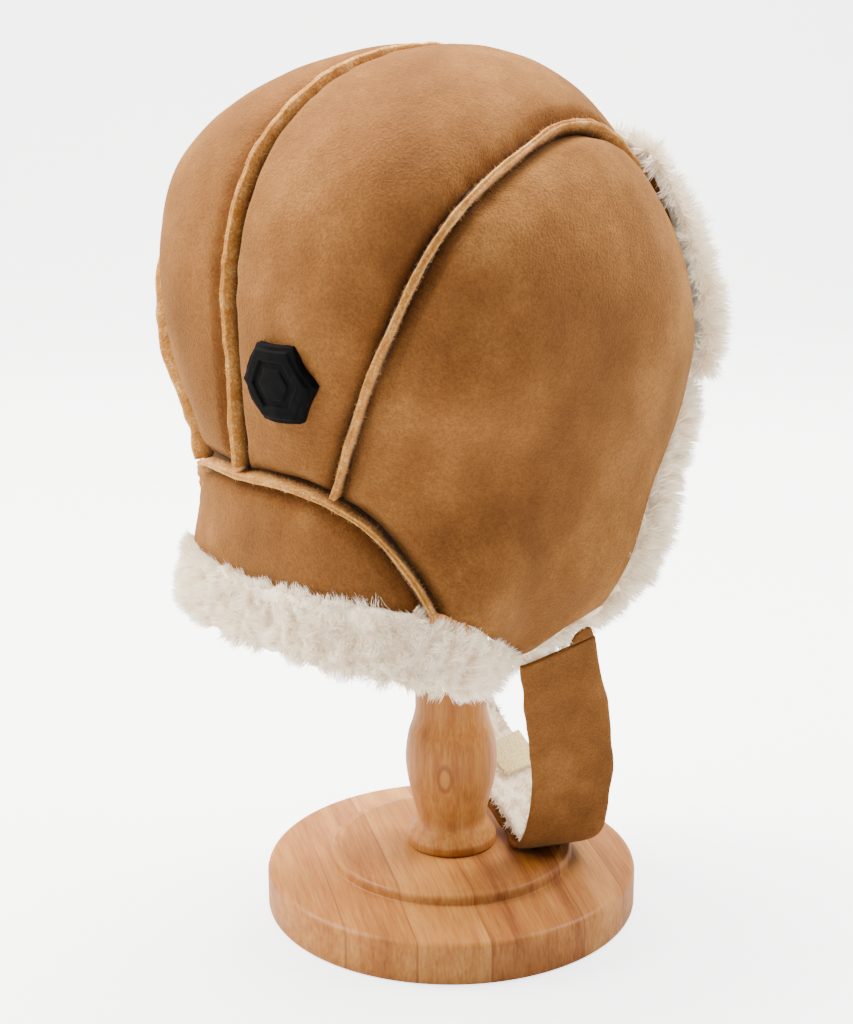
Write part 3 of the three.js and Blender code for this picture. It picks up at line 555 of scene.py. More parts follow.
def ripples(places, pitch, height, seed=0):
    shift = Vector((seed * 3.1, seed * 1.7, seed * 2.3))
    return np.array([noise.noise(Vector(p) / pitch + shift) for p in places]) * height


def seam_distance(places, normals):
    """How far each point lies from the nearest seam along the surface, and the way to it."""
    found = [seam_tree.find(Vector(p)) for p in places]
    offset = places - np.array([f[0][:] for f in found])
    offset -= normals * (offset * normals).sum(axis=1, keepdims=True)
    index = np.array([f[1] for f in found])
    return norm(offset, axis=1), unit(offset), index


def mark(data, name, values):
    attribute = data.attributes.new(name, "FLOAT", "POINT")
    attribute.data.foreach_set("value", values)


def shade_valleys(piece):
    """Marks how deep each point lies in the valley of a seam, for the finish to darken as painted
    shade.
    """
    places = [v.co for v in piece.data.vertices]
    depth = [1 - smooth((seam_tree.find(p)[2] - RIM_TO_SEAM) / VALLEY_SHADE_WIDTH) for p in places]
    mark(piece.data, "valley", depth)


def drawn_in(places, normals, to_rim):
    away, direction, index = seam_distance(places, normals)
    pull = RIM_PULL * (1 - smooth((away - RIM_TO_SEAM) / (5 * MM)))
    depth = DIVE * (1 - smooth((away - RIM_TO_SEAM + RIM_PULL) / DIVE_REACH))
    drag = ripples(seam_points[index], PUCKER_PITCH, PUCKER) * (0.5 + ripples(places, 40 * MM, 1))
    pucker = drag * np.exp(-((away - 5 * MM) / (6 * MM)) ** 2)
    free = smooth((away - 6 * MM) / (6 * MM))
    curl = CURL * free * (1 - smooth(to_rim / CURL_REACH))
    return places - direction * pull[:, None] + normals * (pucker - depth - curl)[:, None]


def placed(name, data, finish):
    data.materials.append(finish)
    data.polygons.foreach_set("use_smooth", [True] * len(data.polygons))
    return linked(name, data)


def new_object(name, mesh, finish):
    data = bpy.data.meshes.new(name)
    mesh.to_mesh(data)
    mesh.free()
    return placed(name, data, finish)


def laid_grid(cells_along, cells_across, shape):
    """A grid of quads, each vertex placed by shape(along, across)."""
    mesh = bmesh.new()
    bmesh.ops.create_grid(mesh, x_segments=cells_along, y_segments=cells_across, size=0.5)
    at = np.array([v.co[:2] for v in mesh.verts]) + 0.5
    for vert, place in zip(mesh.verts, shape(at[:, 0], at[:, 1])):
        vert.co = place
    mesh.normal_update()
    return mesh


def faced_outward(mesh, outward=1):
    if outward * outward_area(mesh.faces) < 0:
        bmesh.ops.reverse_faces(mesh, faces=mesh.faces)
    return mesh


def lengths_of(grid, axis):
    return norm(np.diff(grid, axis=axis), axis=2).sum(axis=axis)


def rim_distance(grid, along, across):
    length, width = lengths_of(grid, 0).mean(), lengths_of(grid, 1).mean()
    return np.minimum(np.minimum(along, 1 - along) * length, np.minimum(across, 1 - across) * width)


def thickened(piece):
    wall = piece.modifiers.new("skin", "SOLIDIFY")
    wall.thickness = SKIN
    wall.offset = -1
    rounding = piece.modifiers.new("cut edge", "BEVEL")
    rounding.width = CUT_EDGE
    rounding.segments = 2
    rounding.limit_method = "ANGLE"
    rounding.angle_limit = math.radians(50)
    return piece


def stand_for(piece, slot, *nodes):
    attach(piece, "root")
    if nodes:
        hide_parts(*nodes)
    return piece


LOWERED = {"crown_panel_left": 1.6 * MM}
LOWERED_FROM = 12 * MM
LOWERED_FADE = 22 * MM
left_tree = tree_of(seam_lines["left_seam_welt"]["middle"])


def declare_sheet(piece, grid):
    """Prints the rectangle that a skin is cut from."""
    length, width = lengths_of(grid, 0).max(), lengths_of(grid, 1).max()
    print(piece.name, "is cut from", round(width / MM), "by", round(length / MM), "mm")


def suede_panel(node, cells_along, cells_across, seed):
    grid = layer_grid(node)

    def shape(along, across):
        places = surface(grid, along, across)
        normals = surface_normals(grid, along, across)
        to_rim = rim_distance(grid, along, across)
        hills = ripples(places, 38 * MM, 0.9 * MM, seed) + ripples(places, 13 * MM, 0.25 * MM, seed)
        hills *= smooth(to_rim / (12 * MM))
        if node in LOWERED:
            away = np.array([left_tree.find(p)[2] for p in places])
            fade = 1 - smooth((away - LOWERED_FROM) / LOWERED_FADE)
            hills -= LOWERED[node] * smooth(away / (5 * MM)) * fade
        return drawn_in(places, normals, to_rim) + normals * hills[:, None]

    mesh = faced_outward(laid_grid(cells_along, cells_across, shape))
    piece = thickened(new_object(node + "_suede", mesh, SUEDE))
    shade_valleys(piece)
    declare_sheet(piece, grid)
    return stand_for(piece, "suede", node)


# %% [markdown]
# The suede is cut as five pieces, and each gets enough cells for puckers 6 mm apart.

# %% The five panels
PANEL_CELLS = {
    "crown_panel_right": (170, 46),
    "crown_panel_left": (170, 46),
    "side_panel_right": (120, 90),
    "side_panel_left": (120, 90),
    "nape_panel": (100, 30),
}
for seed, (node, (cells_along, cells_across)) in enumerate(PANEL_CELLS.items()):
    panel = suede_panel(node, cells_along, cells_across, seed)
    print(panel.name, "has", len(panel.data.polygons), "faces")

# %% [markdown]
# ## Raw seam edges
# The two skins' edges stand side by side along each seam, about 4 mm wide, with a shallow groove
# between them. The section is swept along the seam line, and its width, height and lean vary a
# little, because it was cut with shears and not moulded.

# %% Welt making
WELT_SECTION = np.array([
    (-3.6, -4.4), (-1.6, -3.2), (-1.3, 0.6), (-1.15, 1.8), (-0.7, 2.3), (-0.3, 2.0), (0.05, 1.7),
    (0.4, 2.0), (0.8, 2.2), (1.15, 1.6), (1.3, 0.6), (1.6, -3.2), (3.6, -4.4), (0.0, -4.8),
]) * MM
WELT_STEP = 1.2 * MM
WELT_GAIN = {"left_seam_welt": 1.4}


def raw_edge(node, seed):
    line = seam_lines[node]
    count = len(line["middle"]) - 1

    def shape(along, around):
        at = np.clip((along * count).round().astype(int), 0, count)
        side = np.round(around * len(WELT_SECTION)).astype(int) % len(WELT_SECTION)
        middle = line["middle"][at]
        section = WELT_SECTION[side]
        width = 1 + ripples(middle, 9 * MM, 0.22, seed)
        height = 1 + ripples(middle, 6 * MM, 0.3, seed + 5)
        lean = ripples(middle, 16 * MM, 0.5 * MM, seed + 9)
        rough = ripples(middle + section[side][:, :1] * 40, 2.5 * MM, 0.12 * MM, seed + 2)
        aside = section[:, 0] * width + lean * np.clip(section[:, 1] / (2 * MM), 0, 1) + rough
        gain = height * WELT_GAIN.get(node, 1)
        rise = np.where(section[:, 1] > 0, section[:, 1] * gain, section[:, 1])
        return middle + line["across"][at] * aside[:, None] + line["normal"][at] * rise[:, None]

    mesh = laid_grid(int(line["length"] / WELT_STEP), len(WELT_SECTION), shape)
    bmesh.ops.remove_doubles(mesh, verts=mesh.verts, dist=WELD)
    bmesh.ops.holes_fill(mesh, edges=mesh.edges, sides=len(WELT_SECTION))
    bmesh.ops.recalc_face_normals(mesh, faces=mesh.faces)
    piece = new_object(node + "_edges", mesh, WELT)
    # Each point is marked for painted shade by how far it lies below the seam.
    places = [v.co for v in piece.data.vertices]
    below = [(seam_tree.find(p)[0] - p).dot((p - HEART).normalized()) for p in places]
    mark(piece.data, "valley", smooth((np.array(below) + 0.5 * MM) / (2.2 * MM)))
    return stand_for(piece, "welt", node)


welts = [raw_edge(node, seed) for seed, node in enumerate(WELT_NODES)]
print("welts:", [len(w.data.polygons) for w in welts])

# %% [markdown]
# ## Strands of fleece
# Hair curves would be lost on export, so fleece is made as a mesh. One strand is a narrow strip
# that tapers to a point, made once. It is then planted thousands of times on a core: each copy gets
# its own root, direction, length and bend. Strands of one clump lean towards a common tip, as wool
# does and a brush doesn't.


# %% One strand and the planting of many
def one_strand():
    mesh = bmesh.new()
    bmesh.ops.create_grid(mesh, x_segments=1, y_segments=3, size=0.5)
    for vert in mesh.verts:
        vert.co.y += 0.5
        vert.co.x *= 1 - 0.9 * vert.co.y ** 1.5
    tip = [v for v in mesh.verts if v.co.y > 0.99]
    bmesh.ops.pointmerge(mesh, verts=tip, merge_co=(0, 1, 0))
    mesh.verts.index_update()
    shape = np.array([v.co[:2] for v in mesh.verts])
    faces = [[v.index for v in face.verts] for face in mesh.faces]
    mesh.free()
    return shape, faces


STRAND_SHAPE, STRAND_FACES = one_strand()
print("one strand has", sum(len(face) - 2 for face in STRAND_FACES), "triangles")


def as_shown(piece):
    """The piece with its modifiers worked out."""
    return piece.evaluated_get(bpy.context.evaluated_depsgraph_get())


def scattered(piece, count, chance, where=None):
    """Random places on a finished piece, with the direction that faces out at each."""
    evaluated = as_shown(piece)
    mesh = evaluated.to_mesh()
    mesh.calc_loop_triangles()
    corners = np.empty(len(mesh.vertices) * 3)
    mesh.vertices.foreach_get("co", corners)
    corners = corners.reshape(-1, 3)
    index = np.empty(len(mesh.loop_triangles) * 3, dtype=int)
    mesh.loop_triangles.foreach_get("vertices", index)
    index = index.reshape(-1, 3)
    evaluated.to_mesh_clear()
    a, b, c = corners[index[:, 0]], corners[index[:, 1]], corners[index[:, 2]]
    cross = np.cross(b - a, c - a)
    area = norm(cross, axis=1) / 2
    if where is not None:
        area = area * where((a + b + c) / 3, unit(cross))
    pick = chance.choice(len(area), size=count, p=area / area.sum())
    s, t = chance.random(count), chance.random(count)
    over = s + t > 1
    s[over], t[over] = 1 - s[over], 1 - t[over]
    roots = a[pick] + s[:, None] * (b - a)[pick] + t[:, None] * (c - a)[pick]
    return roots, unit(cross[pick])


def clumped(roots, tips, chance, strands_each, share):
    """Tips drawn towards the tip of one strand of their clump."""
    chosen = chance.choice(len(roots), size=max(2, len(roots) // strands_each), replace=False)
    tree = tree_of(roots[chosen], chosen)
    leader = np.array([tree.find(r)[1] for r in roots])
    return tips * (1 - share) + tips[leader] * share


def planted(name, core, count, length, width, seed, where=None, lean=(0, 0, 0), spread=0.45,
            droop=0.25, clump=(16, 0.5), slot="fleece", finish=None, sink=0.6 * MM, under=None):
    chance = np.random.default_rng(seed)
    roots, normals = scattered(core, count, chance, where)
    leaning = lean(roots, normals) if callable(lean) else np.array(lean)
    ways = unit(normals + leaning + chance.normal(size=(count, 3)) * spread)
    lengths = length * chance.uniform(0.65, 1.15, size=count)
    if under:
        room = np.array([under.find_nearest(root)[3] for root in roots])
        lengths = np.minimum(lengths, np.maximum(room - 0.5 * MM, 1.2 * MM))
    tips = clumped(roots, roots + ways * lengths[:, None], chance, *clump)
    roots = roots - normals * sink
    reach = tips - roots
    side = unit(np.cross(reach, chance.normal(size=(count, 3))))
    bend = chance.normal(size=(count, 3)) * 0.12 * lengths[:, None]
    bend[:, 2] -= droop * lengths
    widths = width * chance.uniform(0.6, 1.3, size=count)
    across = STRAND_SHAPE[None, :, 0, None] * widths[:, None, None]
    up = STRAND_SHAPE[None, :, 1, None]
    places = roots[:, None] + reach[:, None] * up + side[:, None] * across
    places = places + bend[:, None] * (up * (1 - up) * 1.2 + 0.25 * up * up)
    each = len(STRAND_SHAPE)
    sizes = [len(face) for face in STRAND_FACES]
    strand_loops = np.concatenate(STRAND_FACES)
    loops = (np.arange(count)[:, None] * each + strand_loops[None]).ravel()
    face_sizes = np.tile(sizes, count)
    data = bpy.data.meshes.new(name)
    data.vertices.add(count * each)
    data.vertices.foreach_set("co", places.ravel())
    data.loops.add(len(loops))
    data.loops.foreach_set("vertex_index", loops)
    data.polygons.add(len(face_sizes))
    data.polygons.foreach_set("loop_start", np.concatenate([[0], np.cumsum(face_sizes)[:-1]]))
    data.update(calc_edges=True)
    mark(data, "tip", np.tile(STRAND_SHAPE[:, 1], count))
    return stand_for(placed(name, data, finish or FLEECE), slot)


# %% [markdown]
# The raw edges of the leather fray a little, so each seam gets a light fuzz of very short strands on
# the part that stands out.

# %% Welt fuzz
FUZZ_PER_MM = 11
FUZZ_REACH = 2.6 * MM


def on_the_edges(places, normals):
    return (seam_distance(places, normals)[0] < FUZZ_REACH) * 1.0


for seed, piece in enumerate(welts):
    count = int(seam_lines[WELT_NODES[seed]]["length"] / MM * FUZZ_PER_MM)
    planted(piece.name + "_fuzz", piece, count, 1.3 * MM, 0.22 * MM, 40 + seed, where=on_the_edges,
            spread=0.6, droop=0, clump=(6, 0.3), slot="welt", finish=WELT, sink=0.2 * MM)
print("welt fuzz planted")

# %% [markdown]
# ## Fleece rolls
# Along the nape, round the face and under the flaps the fleece side turns out in a thick roll. Its
# core is the frame's roll, smoothed and drawn in a little, and the strands stand on that core, so
# their tips end about where the frame's outer form is.


# %% Cores and rolls
def frame_tree(*nodes):
    """A search tree over the surfaces of some of the frame's nodes."""
    mesh = bmesh.new()
    for node in nodes:
        mesh.from_mesh(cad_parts[node].data)
    tree = BVHTree.FromBMesh(mesh)
    mesh.free()
    return tree


def core_of(node, inset, levels=2, against=(), swell_on_top=0):
    """The frame's solid, smoothed and drawn in except beside its skin, as a core for strands."""
    mesh = welded(node)
    skins = frame_tree(*against) if against else None
    piece = new_object(node + "_core", mesh, FLEECE_SKIN)
    rounding = piece.modifiers.new("rounding", "SUBSURF")
    rounding.levels = rounding.render_levels = levels
    finer = bpy.data.meshes.new_from_object(as_shown(piece))
    piece.modifiers.clear()
    piece.data = finer
    normals = [v.normal.copy() for v in finer.vertices]
    for vert, normal in zip(finer.vertices, normals):
        lump = noise.noise(vert.co / (9 * MM)) * 0.8 * MM
        free = float(smooth((skins.find_nearest(vert.co)[3] - 1.5 * MM) / (4 * MM))) if skins else 1
        vert.co -= normal * ((inset - lump) * free - swell_on_top * max(0, normal.z - 0.2))
    return stand_for(piece, "fleece", node)


def up_and_over(roots, normals):
    """Strands on top of the roll stand up and out, so that they lie over the hem of the suede."""
    outward = roots - np.array(HEART)
    outward[:, 2] = 0
    rising = np.clip(normals[:, 2:] + 0.2, 0, 1)
    return unit(outward) * 0.9 * rising + np.array([0, 0, 0.3]) * rising


HEMS = ["nape_panel", "nape_fleece", "side_panel_right", "side_panel_left", "side_fleece_right",
        "side_fleece_left"]
nape_core = core_of("nape_fur_trim", 3.0 * MM, against=HEMS, swell_on_top=3.2 * MM)
nape_fur = planted("nape_fur", nape_core, 39000, 5.8 * MM, 0.3 * MM, 1, lean=up_and_over, spread=0.7,
                   droop=0.22, clump=(60, 0.5))
print("nape fur strands:", len(nape_fur.data.vertices) // len(STRAND_SHAPE))

EDGE_FORWARD = (0, -0.6, 0)
for seed, hand in enumerate(["right", "left"]):
    edge_core = core_of(hand + "_edge_fur", 0.6 * MM, against=HEMS)
    planted(hand + "_edge_strands", edge_core, 20000, 8.0 * MM, 0.42 * MM, 10 + seed, lean=EDGE_FORWARD,
            under=frame_tree("chin_strap", "strap_tab"), droop=0.12, clump=(32, 0.5))

# %% [markdown]
# ## The forehead flap
# The flap is one skin turned up, so its suede lies against the crown and its fleece faces out.

# %% Forehead flap
BRIM_TRIM = 0.12
BRIM_CELLS = (110, 56)
brim_grid = layer_grid("front_brim")


def brim_shape(along, across):
    along, across = BRIM_TRIM + along * (1 - 2 * BRIM_TRIM), BRIM_TRIM + across * (1 - 2 * BRIM_TRIM)
    places = surface(brim_grid, along, across)
    normals = surface_normals(brim_grid, along, across)
    return places + normals * ripples(places, 30 * MM, 0.5 * MM, 8)[:, None]


brim_mesh = faced_outward(laid_grid(*BRIM_CELLS, brim_shape))
brim = thickened(new_object("front_brim_suede", brim_mesh, SUEDE))
stand_for(brim, "suede", "front_brim")
declare_sheet(brim, brim_grid)
brim_core = core_of("brim_fur", 2.6 * MM, against=["front_brim"])


ON_RIM = 0.6
RIM_DENSITY = 4.0


def outwardness(places, normals):
    return (unit(places - np.array(HEART)) * normals).sum(axis=1)


def off_the_brim(places, normals):
    outward = outwardness(places, normals)
    return np.where(np.abs(outward) < ON_RIM, RIM_DENSITY, 1.0) * (outward > -ON_RIM)


def on_the_rim(places, normals):
    return (np.abs(outwardness(places, normals)) < ON_RIM) * 1.0


def over_the_rim(roots, normals):
    """Strands on the flap's rim bend back over the cut edge of the suede."""
    on_rim = 1 - np.clip(outwardness(roots, normals), 0, 1)
    return -unit(roots - np.array(HEART)) * on_rim[:, None] * 0.2


brim_fur = planted("brim_strands", brim_core, 39000, 8.0 * MM, 0.4 * MM, 20, where=off_the_brim,
                   lean=over_the_rim, spread=0.6, droop=0.15, clump=(40, 0.42))
planted("brim_rim_strands", brim_core, 9000, 4.5 * MM, 0.34 * MM, 21, where=on_the_rim, spread=0.8,
        droop=0.05, clump=(10, 0.2))
print("brim strands:", len(brim_fur.data.vertices) // len(STRAND_SHAPE))

# %% [markdown]
# ## The fleece inside
# Each panel's inner side is the same fleece, shorn shorter. It shows in the face opening and from
# below. Its skin is the frame's inner surface with soft lumps, and short strands stand on it. Near a
# seam the skin is drawn over to its neighbour and gets thin, as it is where the two are sewn.

# %% Inner fleece
INNER_DEPTH = 4 * MM
INNER_SHARE_AT_SEAMS = 0.12
INNER_THIN_REACH = 8 * MM
INNER_THIN_FADE = 6 * MM
INNER_PULL = 2.6 * MM
INNER_NODES = {
    "crown_fleece_right": (90, 26, 7000),
    "crown_fleece_left": (90, 26, 7000),
    "side_fleece_right": (64, 48, 9000),
    "side_fleece_left": (64, 48, 9000),
    "nape_fleece": (60, 18, 3000),
}


def facing_in(places, normals):
    return (outwardness(places, normals) < -0.2) * 1.0


def inner_fleece(node, cells_along, cells_across, strands, seed):
    grid = layer_grid(node, facing=-1)

    def shape(along, across):
        places = surface(grid, along, across)
        normals = surface_normals(grid, along, across)
        away, direction, index = seam_distance(places, normals)
        pull = INNER_PULL * (1 - smooth((away - RIM_TO_SEAM) / (6 * MM)))
        lumps = ripples(places, 9 * MM, 1.3 * MM, seed) + ripples(places, 4 * MM, 0.5 * MM, seed)
        lumps = (lumps + 1.2 * MM) * smooth(away / (9 * MM))
        return places - direction * pull[:, None] + normals * lumps[:, None]

    mesh = faced_outward(laid_grid(cells_along, cells_across, shape), outward=-1)
    skin = new_object(node + "_skin", mesh, FLEECE_SKIN)
    deep = skin.vertex_groups.new(name="deep")
    for vert in skin.data.vertices:
        away = seam_tree.find(vert.co)[2]
        deep.add([vert.index], float(smooth((away - INNER_THIN_REACH) / INNER_THIN_FADE)), "REPLACE")
    wall = skin.modifiers.new("depth", "SOLIDIFY")
    wall.thickness = INNER_DEPTH
    wall.offset = -1
    wall.vertex_group = deep.name
    wall.thickness_vertex_group = INNER_SHARE_AT_SEAMS
    stand_for(skin, "fleece", node)
    planted(node + "_strands", skin, strands, 3.6 * MM, 0.6 * MM, 60 + seed, where=facing_in, droop=0.1,
            clump=(14, 0.5))


for seed, (node, (cells_along, cells_across, strands)) in enumerate(INNER_NODES.items()):
    inner_fleece(node, cells_along, cells_across, strands, seed)
print("inner fleece made")

# %% [markdown]
# ## The chin strap
# The strap is one long band of sheepskin with suede outside. Its edges curl slightly and its
# surface waves a little where it was bent for a long time. The fleece side shows at the rear edge
# as a thin pale fringe.

# %% Strap
strap_grid = layer_grid("chin_strap")
STRAP_CELLS = (200, 22)


def strap_shape(along, across):
    places = surface(strap_grid, along, across)
    normals = surface_normals(strap_grid, along, across)
    edge = np.abs(across - 0.5) * 2
    curl = 0.9 * MM * edge ** 6
    waves = ripples(places, 16 * MM, 0.7 * MM, 3) * np.clip(1 - edge, 0.3, 1)
    aside = unit(surface(strap_grid, along, along * 0 + 1) - surface(strap_grid, along, along * 0))
    cut = ripples(places, 11 * MM, 0.9 * MM, 6) * (across - 0.5) * 2
    return places + normals * (waves - curl)[:, None] + aside * cut[:, None]


strap_mesh = faced_outward(laid_grid(*STRAP_CELLS, strap_shape))
strap = thickened(new_object("chin_strap_suede", strap_mesh, SUEDE))
stand_for(strap, "suede", "chin_strap")
declare_sheet(strap, strap_grid)

strap_core = core_of("strap_fleece", 0.9 * MM, levels=1)
strap_tree = BVHTree.FromPolygons([v.co for v in strap.data.vertices],
                                  [p.vertices[:] for p in strap.data.polygons])


def off_the_suede(places, normals):
    apart = np.array([strap_tree.find_nearest(p)[3] for p in places])
    return (apart > 2.7 * MM) * np.where(apart < 5.2 * MM, 2.5, 1.0)


planted("strap_strands", strap_core, 20000, 3.6 * MM, 0.42 * MM, 30, where=off_the_suede, droop=0.1)

# %% [markdown]
# ## Small pieces
# The tab and the closure patch keep the frame's shape. Their corners are rounded on a welded copy.


# %% Tab and closure
def rounded(mesh, angle, width, segments):
    """Rounds every edge that is sharper than an angle, in degrees."""
    sharp = [e for e in mesh.edges if e.calc_face_angle(0) > math.radians(angle)]
    bmesh.ops.bevel(mesh, geom=sharp, offset=width, segments=segments, profile=0.5, affect="EDGES",
                    material=-1, clamp_overlap=True)


def rounded_copy(node, finish, slot, width):
    mesh = welded(node)
    rounded(mesh, 40, width, 2)
    return stand_for(new_object(node + "_made", mesh, finish), slot, node)


rounded_copy("strap_tab", SUEDE, "suede", 0.4 * MM)
rounded_copy("closure_patch", CLOSURE, "closure", 0.4 * MM)

# %% [markdown]
# ## The badge
# A plain black rubber badge stands on the right crown panel. It is a long hexagon with a rounded
# rim, a sunk field and a raised six-sided middle. It is modelled flat with insets, then laid on the
# frame's badge so that it follows the panel's curve.

# %% Badge
BADGE_HALF_WIDTH = 14 * MM
BADGE_HALF_HEIGHT = 17 * MM
BADGE_SHOULDER = 0.45
BADGE_THICK = 3 * MM
BADGE_SINK = 0.9 * MM
BADGE_STEPS = [
    (1.4 * MM, 0), (0.5 * MM, -BADGE_SINK), (3.2 * MM, 0),
    (0.5 * MM, BADGE_SINK), (2.2 * MM, 0), (0.5 * MM, -0.6 * MM),
]

badge_frame = welded("badge")
badge_middle = sum((v.co for v in badge_frame.verts), Vector()) / len(badge_frame.verts)
badge_out = Vector((badge_middle.x, badge_middle.y, 0)).normalized()
badge_tree = BVHTree.FromBMesh(badge_frame)
front = [f for f in badge_frame.faces if f.normal.dot(badge_out) > 0.9]
badge_out = sum((f.normal * f.calc_area() for f in front), Vector()).normalized()
badge_across = Vector((0, 0, 1)).cross(badge_out).normalized()
badge_up = badge_out.cross(badge_across)

outline = bmesh.new()
bmesh.ops.create_circle(outline, cap_ends=True, segments=6, radius=1)
for vert in outline.verts:
    vert.co = (vert.co.y / 0.866, vert.co.x, 0)
    vert.co.x *= BADGE_HALF_WIDTH
    vert.co.y *= BADGE_HALF_HEIGHT if abs(vert.co.y) > 0.9 else BADGE_HALF_HEIGHT * BADGE_SHOULDER / 0.5
outline.faces.ensure_lookup_table()
base_face = outline.faces[0]
raised = bmesh.ops.extrude_face_region(outline, geom=[base_face])
top = next(f for f in raised["geom"] if isinstance(f, bmesh.types.BMFace))
bmesh.ops.translate(outline, verts=top.verts, vec=(0, 0, BADGE_THICK))
for thickness, depth in BADGE_STEPS:
    bmesh.ops.inset_region(outline, faces=[top], thickness=thickness, depth=depth, use_even_offset=True)
outline.normal_update()
bmesh.ops.recalc_face_normals(outline, faces=outline.faces)
rounded(outline, 35, 0.28 * MM, 2)
bmesh.ops.triangulate(outline, faces=[f for f in outline.faces if len(f.verts) > 4])
long_edges = [e for e in outline.edges if e.calc_length() > 3 * MM]
bmesh.ops.subdivide_edges(outline, edges=long_edges, cuts=5, use_grid_fill=True)
for vert in outline.verts:
    spot = badge_middle + badge_across * vert.co.x * 0.995 + badge_up * vert.co.y * 0.995
    hit = badge_tree.ray_cast(spot + badge_out * 30 * MM, -badge_out)
    level = hit[0] if hit[0] else spot + badge_out * (badge_middle - spot).dot(badge_out)
    vert.co = level + badge_out * (vert.co.z - BADGE_THICK)
bmesh.ops.recalc_face_normals(outline, faces=outline.faces)
badge = new_object("badge_rubber", outline, RUBBER)
stand_for(badge, "badge", "badge")
badge_frame.free()
print("badge faces:", len(badge.data.polygons))

# %% [markdown]
# ## The turned stand
# A turned piece is one outline spun about its axis. `meridian` reads the outline off the frame, the
# spin has many more steps than the frame's facets, and the post's swelling is read smoothly. Every
# crisp ring then gets a small bevel, as sandpaper leaves it.

# %% Turned pieces
SPIN_STEPS = 144
CRISP = 18
SANDED = 0.5 * MM


def meridian(node):
    mesh = welded(node)
    widest = max(mesh.verts, key=lambda v: v.co.xy.length)
    heading = widest.co.xy.normalized()
    line = {v for v in mesh.verts
            if v.co.xy.length < WELD or (v.co.xy.normalized() - heading).length < 0.01}
    order = [min((v for v in line if v.co.xy.length < WELD), key=lambda v: v.co.z)]
    while True:
        ahead = [e.other_vert(order[-1]) for e in order[-1].link_edges]
        ahead = [v for v in ahead if v in line and v not in order]
        if not ahead:
            break
        order.append(ahead[0])
    outline = np.array([(v.co.xy.length, v.co.z) for v in order])
    mesh.free()
    return outline


def softened(outline, first, last, finer):
    """The outline with its stretch from first to last read as a smooth curve."""
    run = outline[first:last]
    pair = np.stack([run, run], axis=1)
    at = np.linspace(0, 1, (len(run) - 1) * finer + 1)
    return np.concatenate([outline[:first], surface(pair, at, at * 0), outline[last:]])


def turned(node, outline, finish):
    mesh = bmesh.new()
    verts = [mesh.verts.new((r, 0, z)) for r, z in outline]
    edges = [mesh.edges.new(pair) for pair in zip(verts, verts[1:])]
    bmesh.ops.spin(mesh, geom=verts + edges, axis=(0, 0, 1), angle=2 * math.pi, steps=SPIN_STEPS,
                   use_merge=True)
    bmesh.ops.remove_doubles(mesh, verts=mesh.verts, dist=WELD)
    bmesh.ops.recalc_face_normals(mesh, faces=mesh.faces)
    rounded(mesh, CRISP, SANDED, 3)
    return stand_for(new_object(node + "_turned", mesh, finish), "wood", node)


post_outline, head_outline = meridian("stand_post"), meridian("stand_head")
stand_pieces = [
    turned("stand_base", meridian("stand_base"), FOOT_WOOD),
    turned("stand_post", softened(post_outline, 2, len(post_outline) - 2, 8), POST_WOOD),
    turned("stand_head", softened(head_outline, 1, len(head_outline), 6), POST_WOOD),
]
print("stand faces:", [len(p.data.polygons) for p in stand_pieces])

# %% [markdown]
# ## Floor
# The object stands on a plain pale floor that sweeps up behind it, so no horizon cuts the picture.
# Studio paper is lit until it looks white. Here it glows instead, and only where the camera looks
# straight at it, so the glow doesn't light the object from below.

# %% Floor
SWEEP_NEAR = 2.5
SWEEP_FAR = 1.6
SWEEP_HEIGHT = 3.0
SWEEP_ROUND = 0.9
HALF_FLOOR = 4
PAPER_GLOW = 2.9
floor_finish = Finish("floor", 0.1, roughness=0.9, emission_strength=PAPER_GLOW,
                      base_color=colour(222, 222, 223))
seen = floor_finish.add("ShaderNodeLightPath", {}, {}, "Is Camera Ray")
floor_finish.paint(emission_color=floor_finish.mix(seen, (0, 0, 0, 1), (0.98, 0.99, 1.0, 1)))

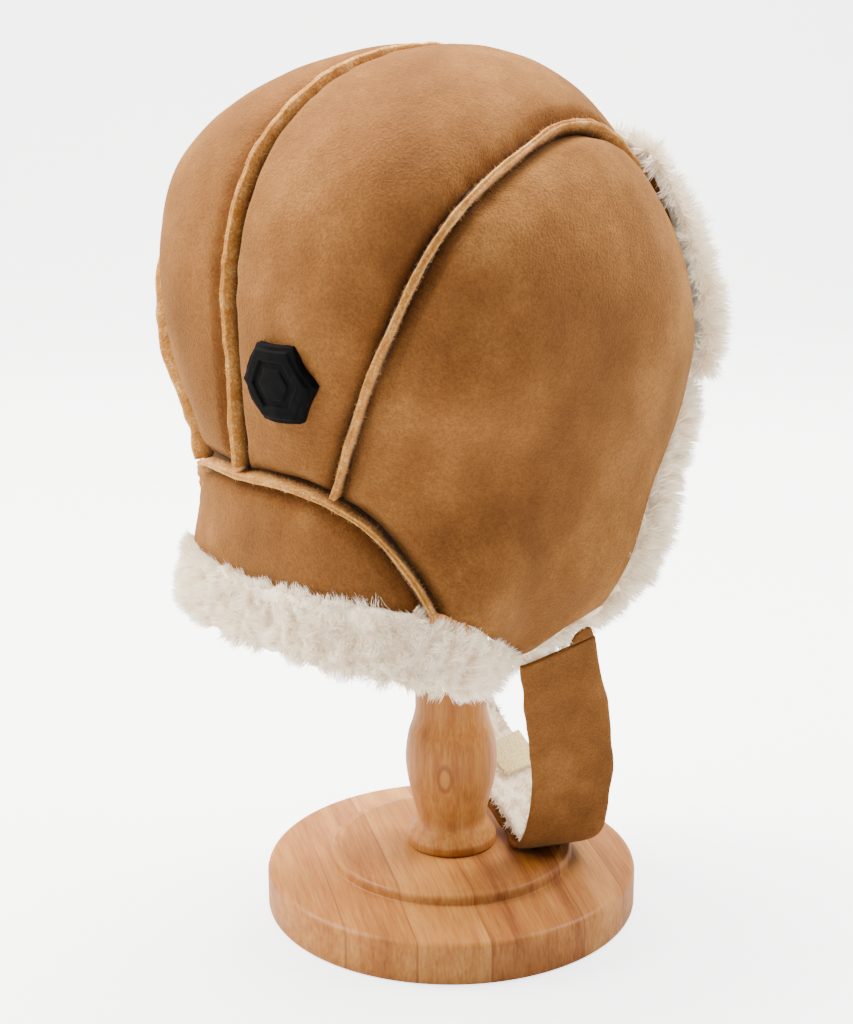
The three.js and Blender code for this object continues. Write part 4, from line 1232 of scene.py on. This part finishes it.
away = Vector((LOOK.x, LOOK.y, 0)).normalized()
sideways_way = Vector((away.y, -away.x, 0))
floor_line = [(-SWEEP_NEAR, 0), (SWEEP_FAR, 0)]
for step in range(1, 13):
    angle = math.pi / 2 * step / 12
    floor_line.append((SWEEP_FAR + SWEEP_ROUND * math.sin(angle), SWEEP_ROUND * (1 - math.cos(angle))))
floor_line.append((SWEEP_FAR + SWEEP_ROUND, SWEEP_HEIGHT))
floor_mesh = bmesh.new()
floor_verts = [floor_mesh.verts.new(away * a + Vector((0, 0, z)) - sideways_way * HALF_FLOOR)
               for a, z in floor_line]
floor_edges = [floor_mesh.edges.new(pair) for pair in zip(floor_verts, floor_verts[1:])]
pulled = bmesh.ops.extrude_edge_only(floor_mesh, edges=floor_edges)
moved_verts = [v for v in pulled["geom"] if isinstance(v, bmesh.types.BMVert)]
bmesh.ops.translate(floor_mesh, verts=moved_verts, vec=sideways_way * HALF_FLOOR * 2)
floor = new_object("floor", floor_mesh, floor_finish.material)

# %% [markdown]
# The key light is a wide lamp high on the picture's left. One overhead and behind lights the top of
# the crown, and a weaker one from the right keeps the near side from going dark.


# %% Lights
LIT_POINT = Vector((0, 0, 0.2))


def soft_light(name, place, size, power, tint):
    data = bpy.data.lights.new(name, "AREA")
    data.shape = "DISK"
    data.size = size
    data.energy = power
    data.color = tint
    lamp = linked(name, data)
    lamp.location = place
    lamp.rotation_euler = (LIT_POINT - place).to_track_quat("-Z", "Y").to_euler()


left_way = -sideways_way
soft_light("key", left_way * 1.5 + away * 0.15 + Vector((0, 0, 1.6)), 1.4, 155, (1.0, 0.965, 0.88))
soft_light("right", -left_way * 1.0 + away * 0.35 + Vector((0, 0, 1.4)), 0.8, 50, (1.0, 0.97, 0.9))
soft_light("top", away * 0.45 + left_way * 0.1 + Vector((0, 0, 2.1)), 1.5, 160, (1.0, 0.98, 0.92))

ROOM_GLOW = 0.27
world = bpy.data.worlds.new("studio")
world.use_nodes = True
background = world.node_tree.nodes["Background"]
background.inputs["Color"].default_value = (0.95, 0.97, 1.0, 1)
background.inputs["Strength"].default_value = ROOM_GLOW
bpy.context.scene.world = world
